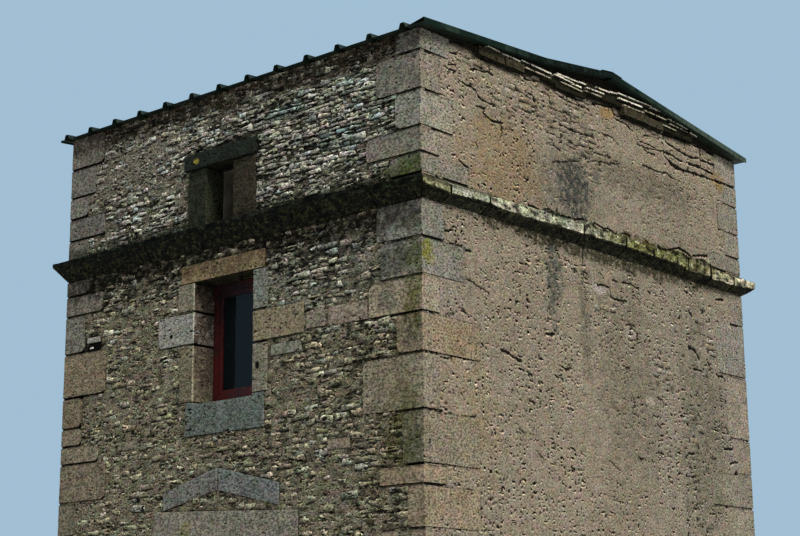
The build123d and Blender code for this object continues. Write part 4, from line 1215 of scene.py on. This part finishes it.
# String course: each side cut into its stones, worn and mossy
stringLook = {"seed": 3, "arris": 0.008, "step": 0.034, "rough": 0.007, "chips": 0.028, "joint": 0.005,
              "darkJoint": 0.011, "rim": 0.022, "ragged": 0.016, "even": 0.004, "faceFrom": 0.7,
              "pale": {"front": 2.6, "back": 2.6, "right": 0.7, "left": 0.7}, "lipPale": 1.9, "crest": 0.014,
              "crestPale": 1.5, "crestDark": 0.35, "jointTint": (0.022, 0.02, 0.014)}
stringJoints = {
    "front": [-0.92, 1.62],
    "right": [-2.066, -1.606, -0.375, 0.24, 0.66, 1.22, 1.6, 2.01],
    "back": [-1.4, -0.8, -0.15, 0.52, 1.1, 1.6],
    "left": [-1.75, -1.1, -0.45, 0.25, 0.9, 1.6],
}
stringTints = {
    "front": [(0.016, 0.02, 0.014), (0.019, 0.021, 0.014), (0.018, 0.022, 0.011)],
    "right": [(0.3, 0.285, 0.175), (0.49, 0.49, 0.395), (0.5, 0.49, 0.385), (0.49, 0.475, 0.355),
              (0.43, 0.41, 0.29), (0.43, 0.41, 0.29), (0.41, 0.385, 0.275), (0.4, 0.365, 0.27),
              (0.45, 0.41, 0.31)],
}
# The worn face of each side: the line of its top edge and of its lower edge, place along the wall and height
stringTops = {
    "front": [(-2.15, 5.03), (1.1, 5.044), (1.6, 5.02), (2.15, 4.988)],
    "right": [(-2.4, 4.988), (-2.07, 4.98), (-2.06, 4.984), (-1.61, 5.012), (-1.6, 4.991), (-1.37, 5.011),
              (-1.0, 5.019), (-0.85, 5.052), (-0.6, 5.027), (-0.37, 5.026), (-0.3, 5.072), (-0.11, 5.018),
              (-0.05, 5.046), (0.08, 5.02), (0.17, 5.055), (0.25, 5.038), (0.59, 5.005), (0.91, 5.028),
              (1.03, 5.075), (1.16, 5.074), (1.27, 5.04), (1.41, 5.072), (1.59, 5.085), (1.62, 5.009),
              (2.02, 4.986), (2.4, 4.997)],
    "back": [(-2.15, 4.997), (0.3, 5.04), (2.15, 5.0)],
    "left": [(-2.4, 5.0), (0.2, 5.035), (2.4, 5.03)],
}
stringLips = {
    "front": [(-2.15, 4.994), (1.1, 4.994), (2.15, 4.933)],
    "right": [(-2.4, 4.933), (-2.07, 4.913), (-1.64, 4.931), (-1.5, 4.914), (-1.25, 4.909), (-0.3, 4.93),
              (0.4, 4.94), (0.98, 4.925), (1.23, 4.89), (2.0, 4.892), (2.4, 4.93)],
    "back": [(-2.15, 4.93), (0.3, 4.97), (2.15, 4.95)],
    "left": [(-2.4, 4.95), (0.2, 4.965), (2.4, 4.994)],
}


# Draws the face of a stone onto the worn lines, then marks its joints, its pale edges and painted shade on
# the underside
def finishStringStone(bm, verts, look, wall, index, ends, base):
    tintLayer, hollowShadeLayer = shapeLayers(bm)
    bottom, top, projection = house["stringBottom"], house["stringTop"], house["projection"]
    for vert in verts:
        u = vert.co.x
        out = min(1.0, max(0.0, -vert.co.y / projection))
        ragged = look["ragged"] if index > 1 and wall == "right" else look["even"]
        crest = alongLine(stringTops[wall], u) + ragged * ripple(u * 14, 1.0, 3.0)
        crest += 0.6 * ragged * ripple(u * 47, 1.0, 3.0)
        lip = alongLine(stringLips[wall], u) + 0.3 * ragged * ripple(u * 14, 5.0, 3.0)
        lowBefore = bottom + (top - house["fascia"] - bottom) * out
        share = (vert.co.z - lowBefore) / (top - lowBefore)
        lowAfter, topAfter = bottom + (lip - bottom) * out, top + (crest - top) * out
        if out > 0:
            vert.co.z = lowAfter + share * (topAfter - lowAfter)
        tint = Vector(base)
        if index > 1 or wall != "right":
            spot = ripple(u * 13, vert.co.z * 22, 4.0)
            tint *= 1 - 0.85 * softStep(0.05, 0.3, spot) + look["pale"][wall] * softStep(0.1, 0.36, -spot)
        onFace = out > look["faceFrom"]
        if onFace and wall == "right":
            if -0.003 < vert.co.z - lip < look["rim"] * 0.7:
                tint *= look["lipPale"]
            elif vert.co.z < lip:
                # Painted shade on the underside below the lip
                vert[hollowShadeLayer] = 0.9
            elif vert.co.z > crest - look["crest"]:
                tint *= look["crestPale" if index > 1 else "crestDark"]
        if wall != "front" and min(abs(u - end) for end in ends) < look["darkJoint"]:
            if onFace and vert.co.z > lip - 0.003:
                vert[hollowShadeLayer] = 1.0
            else:
                tint = Vector(look["jointTint"])
        vert[tintLayer] = (*tint, 1)


def buildString(look):
    chance = random.Random(look["seed"])
    for wall, joints in stringJoints.items():
        bm = newShape()
        tints = stringTints["front" if wall in ("front", "back") else "right"]
        turn = wallPlace(wall)
        ends = [-beyond] + joints + [beyond]
        for index, (start, end) in enumerate(zip(ends, ends[1:])):
            part = nodeShape("string_course_" + wall)
            bmesh.ops.transform(part, matrix=turn.inverted(), verts=part.verts)
            cutBetween(part, 0, start + look["joint"] / 2, end - look["joint"] / 2)
            wearShape(part, look, 200 + index + wallTurn[wall])
            shade = chance.uniform(0.85, 1.15)
            tint = [value * shade for value in tints[index % len(tints)]]
            finishStringStone(bm, addShape(bm, part, tint), look, wall, index, (start, end), tint)
        finishPiece("stringStones" + wall.capitalize(), bm, masonry["stringStone"],
                    replaced=["string_course_" + wall], place=turn)


buildString(stringLook)
print("string course built")

# Broken slabs in the gable heads: pale thin plates over dark thick slabs, nearly level; the darkest, near
# black, are dark stone with painted shade of the verge. Each run is listed as its two ends, place along the
# wall and height of the top edge
ledgeLook = {"below": 0.004, "arris": 0.003, "step": 0.05, "rough": 0.005, "chips": 0.02, "seed": 9,
             "tail": 0.14, "lengths": (0.14, 0.42), "rest": 0.06, "gap": 0.003, "lift": 0.003,
             "lean": 0.02, "back": 0.01, "shades": (0.75, 1.15)}
ledgeKinds = {
    "plate": {"thick": 0.019, "proud": 0.059, "tint": (0.95, 0.9, 0.78)},
    "dull": {"thick": 0.018, "proud": 0.054, "tint": (0.46, 0.42, 0.32)},
    "deep": {"thick": 0.078, "proud": 0.048, "tint": (0.06, 0.052, 0.032)},
    # Near-black slabs: dark stone with painted shade under the verge
    "shadowSlab": {"thick": 0.056, "proud": 0.038, "tint": (0.018, 0.017, 0.01)},
}
ledgeRuns = {
    "plate": [(-1.55, 6.234, -1.35, 6.226), (-1.34, 6.221, -1.1, 6.224), (-1.1, 6.236, -0.66, 6.237),
              (-0.66, 6.24, -0.27, 6.228), (-0.62, 6.262, -0.2, 6.275), (0.14, 6.306, 0.27, 6.318),
              (0.27, 6.326, 0.97, 6.333), (1.06, 6.286, 1.4, 6.277), (1.43, 6.252, 1.562, 6.24),
              (0.28, 6.287, 0.66, 6.294), (-0.21, 6.252, 0.06, 6.262), (-0.06, 6.292, 0.15, 6.3)],
    "dull": [(-0.24, 6.214, 0.02, 6.226), (0.98, 6.222, 1.24, 6.216), (-1.05, 6.196, -0.7, 6.196),
             (0.69, 6.276, 1.04, 6.278), (1.1, 6.252, 1.45, 6.248), (0.36, 6.238, 0.68, 6.251),
             (-0.56, 6.206, -0.25, 6.2)],
    "deep": [(-1.64, 6.212, -1.06, 6.214), (0.36, 6.224, 1.0, 6.228)],
    "shadowSlab": [(-1.06, 6.222, -0.5, 6.226), (-0.62, 6.192, -0.184, 6.2), (-0.6, 6.25, -0.19, 6.262),
             (0.02, 6.262, 0.42, 6.268), (0.26, 6.314, 1.01, 6.316), (0.96, 6.266, 1.46, 6.262),
             (0.96, 6.224, 1.5, 6.222), (-0.24, 6.25, 0.08, 6.262), (-0.24, 6.3, 0.28, 6.312)],
}


def buildLedges(look):
    for side, right in (("left", -1), ("right", 1)):
        chance = random.Random(look["seed"] + right)
        bm = newShape()
        for kind, runs in ledgeRuns.items():
            shape = ledgeKinds[kind]
            for start, startTop, end, endTop in runs:
                y = start
                while y < end - look["rest"]:
                    long = min(chance.uniform(*look["lengths"]), end - y)
                    middle = (y + long / 2 - start) / (end - start)
                    lift = chance.uniform(-look["lift"], look["lift"])
                    top = startTop + (endTop - startTop) * middle + lift
                    lean = (math.atan2(endTop - startTop, end - start)
                            + chance.uniform(-look["lean"], look["lean"]))
                    proud = shape["proud"] - chance.uniform(0.0, look["back"])
                    part = blockShape((-look["tail"], -long / 2 + look["gap"], -shape["thick"]),
                                      (proud, long / 2, 0.0))
                    wearShape(part, look, chance.randint(0, 999))
                    at = Matrix.Translation((house["halfWidth"], y + long / 2, top))
                    place = Matrix.Diagonal((right, 1, 1, 1)) @ at @ Matrix.Rotation(lean, 4, "X")
                    shade = chance.uniform(*look["shades"])
                    fresh = addShape(bm, part, [value * shade for value in shape["tint"]], place)
                    for vert in fresh:
                        vert.co.z = min(vert.co.z, roofUnder(vert.co.y) - look["below"])
                    if right < 0:
                        turned = list({face for vert in fresh for face in vert.link_faces})
                        bmesh.ops.reverse_faces(bm, faces=turned)
                    y += long
        finishPiece(side + "LedgeSlabs", bm, masonry["surroundStone"],
                    replaced=[side + "_gable_ledge"])


buildLedges(ledgeLook)
print("gable slabs laid")


# Plain finishes for the modelled parts that stay as they are
def coatMaterial(name, color, worn, roughness, scale, relief, metallic=0.0, gloss=0.25, stainsAndPaintedLight=()):
    material, tree, shader = newMaterial(name)
    grain = useGroup(tree, stoneGrain, {"Size": scale})
    coat = mixColor(tree, rangeNode(tree, grain["Mottle"], 0.35, 0.95), paint(color), paint(worn))
    for centre, reach, tint in stainsAndPaintedLight:
        feeds = {"Position": objectPlace(tree), "Centre": centre, "Reach": reach, "Ragged": 0.4}
        coat = mixColor(tree, useGroup(tree, stainSpot, feeds)["Mask"], coat, paint(tint))
    tree.links.new(coat, shader["Base Color"])
    shader["Metallic"].default_value = metallic
    shader["Specular IOR Level"].default_value = gloss
    rough = rangeNode(tree, grain["Speck"], 0.0, 1.0, roughness - 0.12, roughness + 0.12)
    tree.links.new(rough, shader["Roughness"])
    addBump(tree, shader, grain["Height"], relief, 0.6)
    return material


# Each coat: its color, worn color, roughness, size of grain and relief, then how metallic and glossy it is
# and its stains, painted shade and painted reflection
coatLooks = {
    "roofCoat": ((0.008, 0.018, 0.012), (0.022, 0.034, 0.026), 0.6, 0.4, 0.0006),
    # The oxblood paint darkens at the head of the window frame: painted shade under the lintel
    "oxbloodPaint": ((0.09, 0.009, 0.008), (0.046, 0.011, 0.01), 0.6, 1.0, 0.001, 0.0, 0.25,
                     [((-0.05, -2.1, 4.84), (1.4, 0.6, 0.92), (0.012, 0.003, 0.003))]),
    # The verge's first patch, paler, is a painted reflection of the sky; the second is darker
    "vergeCoat": ((0.006, 0.016, 0.011), (0.022, 0.04, 0.03), 0.7, 0.6, 0.0006, 0.0, 0.04,
                  [((2.12, 1.9, 6.25), (0.4, 1.1, 0.6), (0.06, 0.085, 0.066)),
                   ((2.12, -0.5, 6.35), (0.4, 0.9, 0.5), (0.003, 0.005, 0.004))]),
    "oldTimber": ((0.12, 0.085, 0.055), (0.07, 0.05, 0.035), 0.8, 1.0, 0.003),
    "doorPlanks": ((0.15, 0.105, 0.07), (0.095, 0.07, 0.05), 0.75, 1.0, 0.003),
    "blackIron": ((0.02, 0.019, 0.018), (0.07, 0.035, 0.02), 0.6, 1.5, 0.002, 0.6),
    "innerWall": ((0.24, 0.215, 0.17), (0.15, 0.13, 0.095), 0.95, 1.0, 0.008),
    "floorStone": ((0.2, 0.185, 0.15), (0.13, 0.12, 0.095), 0.85, 1.0, 0.004),
}
coats = {name: coatMaterial(name, *look) for name, look in coatLooks.items()}

glassLook = {"clean": (0.03, 0.06, 0.08), "dustAndReflection": (0.12, 0.17, 0.18),
             "Transmission Weight": 0.9, "IOR": 1.25, "Specular IOR Level": 0.2}


def glassMaterial(look):
    material, tree, shader = newMaterial("oldGlass")
    mottle = useGroup(tree, stoneGrain, {"Size": 0.25})["Mottle"]
    # Paler teal patches over the glass: dust and a painted reflection
    dustAndReflection = rangeNode(tree, mottle, 0.2, 1.0, 0.02, 0.1)
    tree.links.new(mixColor(tree, dustAndReflection, paint(look["clean"]), paint(look["dustAndReflection"])), shader["Base Color"])
    tree.links.new(rangeNode(tree, mottle, 0, 1, 0.02, 0.08), shader["Roughness"])
    for socket in ("Transmission Weight", "IOR", "Specular IOR Level"):
        shader[socket].default_value = look[socket]
    return material


coats["oldGlass"] = glassMaterial(glassLook)
nodeFinishes = {
    "roofCoat": ["front_lower_roof_sheets", "front_upper_roof_sheets", "back_roof_sheets", "ridge_cap"],
    "vergeCoat": ["verge_flashings"],
    "oxbloodPaint": ["window_frame", "window_casement"],
    "oldTimber": ["roof_purlins", "wall_plates", "first_floor_joists", "first_floor_boards",
                  "loft_floor_joists", "loft_floor_boards"],
    "doorPlanks": ["door_frame", "door_leaf"],
    "blackIron": ["door_ironwork"],
    "innerWall": ["front_wall_lower", "back_wall_lower", "left_wall_lower", "right_wall_lower",
                  "front_wall_upper", "back_wall_upper", "left_gable_wall", "right_gable_wall"],
    "floorStone": ["ground_floor"],
    "oldGlass": ["window_glass"],
}
for finish, nodes in nodeFinishes.items():
    for node in nodes:
        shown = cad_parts[node]
        shown.data.materials.clear()
        shown.data.materials.append(coats[finish])
print("modelled parts finished")

# The camera stands where the photograph was taken from
view = {"lens": 73.89, "sensor": 36.0, "eye": (9.43, -11.043, 1.6), "yaw": 40.96, "pitch": 13.43,
        "roll": -0.44, "reach": 500}


def placeCamera(look):
    yaw, pitch, roll = (math.radians(look[key]) for key in ("yaw", "pitch", "roll"))
    forward = Vector((-math.sin(yaw) * math.cos(pitch), math.cos(yaw) * math.cos(pitch), math.sin(pitch)))
    level = Vector((math.cos(yaw), math.sin(yaw), 0))
    upright = level.cross(forward)
    right = level * math.cos(roll) + upright * math.sin(roll)
    up = upright * math.cos(roll) - level * math.sin(roll)
    basis = Matrix((right, up, -forward)).transposed().to_4x4()
    data = bpy.data.cameras.new("photoView")
    data.lens = look["lens"]
    data.sensor_width = look["sensor"]
    data.clip_end = look["reach"]
    camera = addObject("photoView", data)
    camera.matrix_world = Matrix.Translation(look["eye"]) @ basis
    bpy.context.scene.camera = camera


placeCamera(view)

# Plain pale floor and sky, with a soft key light on the right-hand wall
light = {"fill": 0.31, "fillTint": (0.9, 0.96, 1.0), "shown": (0.36, 0.52, 0.66),
         "suns": {"key": {"energy": 2.6, "tint": (1.0, 0.955, 0.88), "from": (0.8, -0.16, 0.62),
                          "spread": 22},
                  "overhead": {"energy": 0.85, "tint": (0.92, 0.97, 1.0), "from": (-0.12, -0.5, 0.86),
                               "spread": 60}},
         "floorTint": (0.55, 0.54, 0.52), "floorRoughness": 0.9, "floorSize": 60}


def seenDirectly(tree):
    path = addNode(tree, "LightPath")
    seen = mathNode(tree, "MAXIMUM", path["Is Camera Ray"], path["Is Glossy Ray"])
    return mathNode(tree, "MAXIMUM", seen, path["Is Transmission Ray"])


def buildStage(look):
    world = bpy.data.worlds.new("paleSky")
    bpy.context.scene.world = world
    world.use_nodes = True
    tree = world.node_tree
    tree.nodes.clear()
    lit, shown = (addNode(tree, "Background", {"Color": paint(tint), "Strength": strength})[0]
                  for tint, strength in ((look["fillTint"], look["fill"]), (look["shown"], 1.0)))
    mix = addNode(tree, "MixShader", {0: seenDirectly(tree), 1: lit, 2: shown})[0]
    addNode(tree, "OutputWorld", {0: mix})
    for name, lamp in look["suns"].items():
        sun = bpy.data.lights.new(name, "SUN")
        sun.energy = lamp["energy"]
        sun.color = lamp["tint"]
        sun.angle = math.radians(lamp["spread"])
        addObject(name, sun).rotation_euler = Vector(lamp["from"]).to_track_quat("Z", "Y").to_euler()
    bm = bmesh.new()
    bmesh.ops.create_grid(bm, x_segments=1, y_segments=1, size=look["floorSize"] / 2)
    material, _, shader = newMaterial("paleFloor")
    shader["Base Color"].default_value = paint(look["floorTint"])
    shader["Roughness"].default_value = look["floorRoughness"]
    floor = addObject("floor", toMesh(bm, "floor"))
    floor.data.materials.append(material)
    floor.location.z = -0.001
    floor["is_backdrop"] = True


buildStage(light)
scene = bpy.context.scene
scene.view_settings.view_transform = "Standard"
print("camera and light placed")

total = sum(countTriangles(piece.data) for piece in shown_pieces() if piece.type == "MESH")
print("triangles in all:", total)
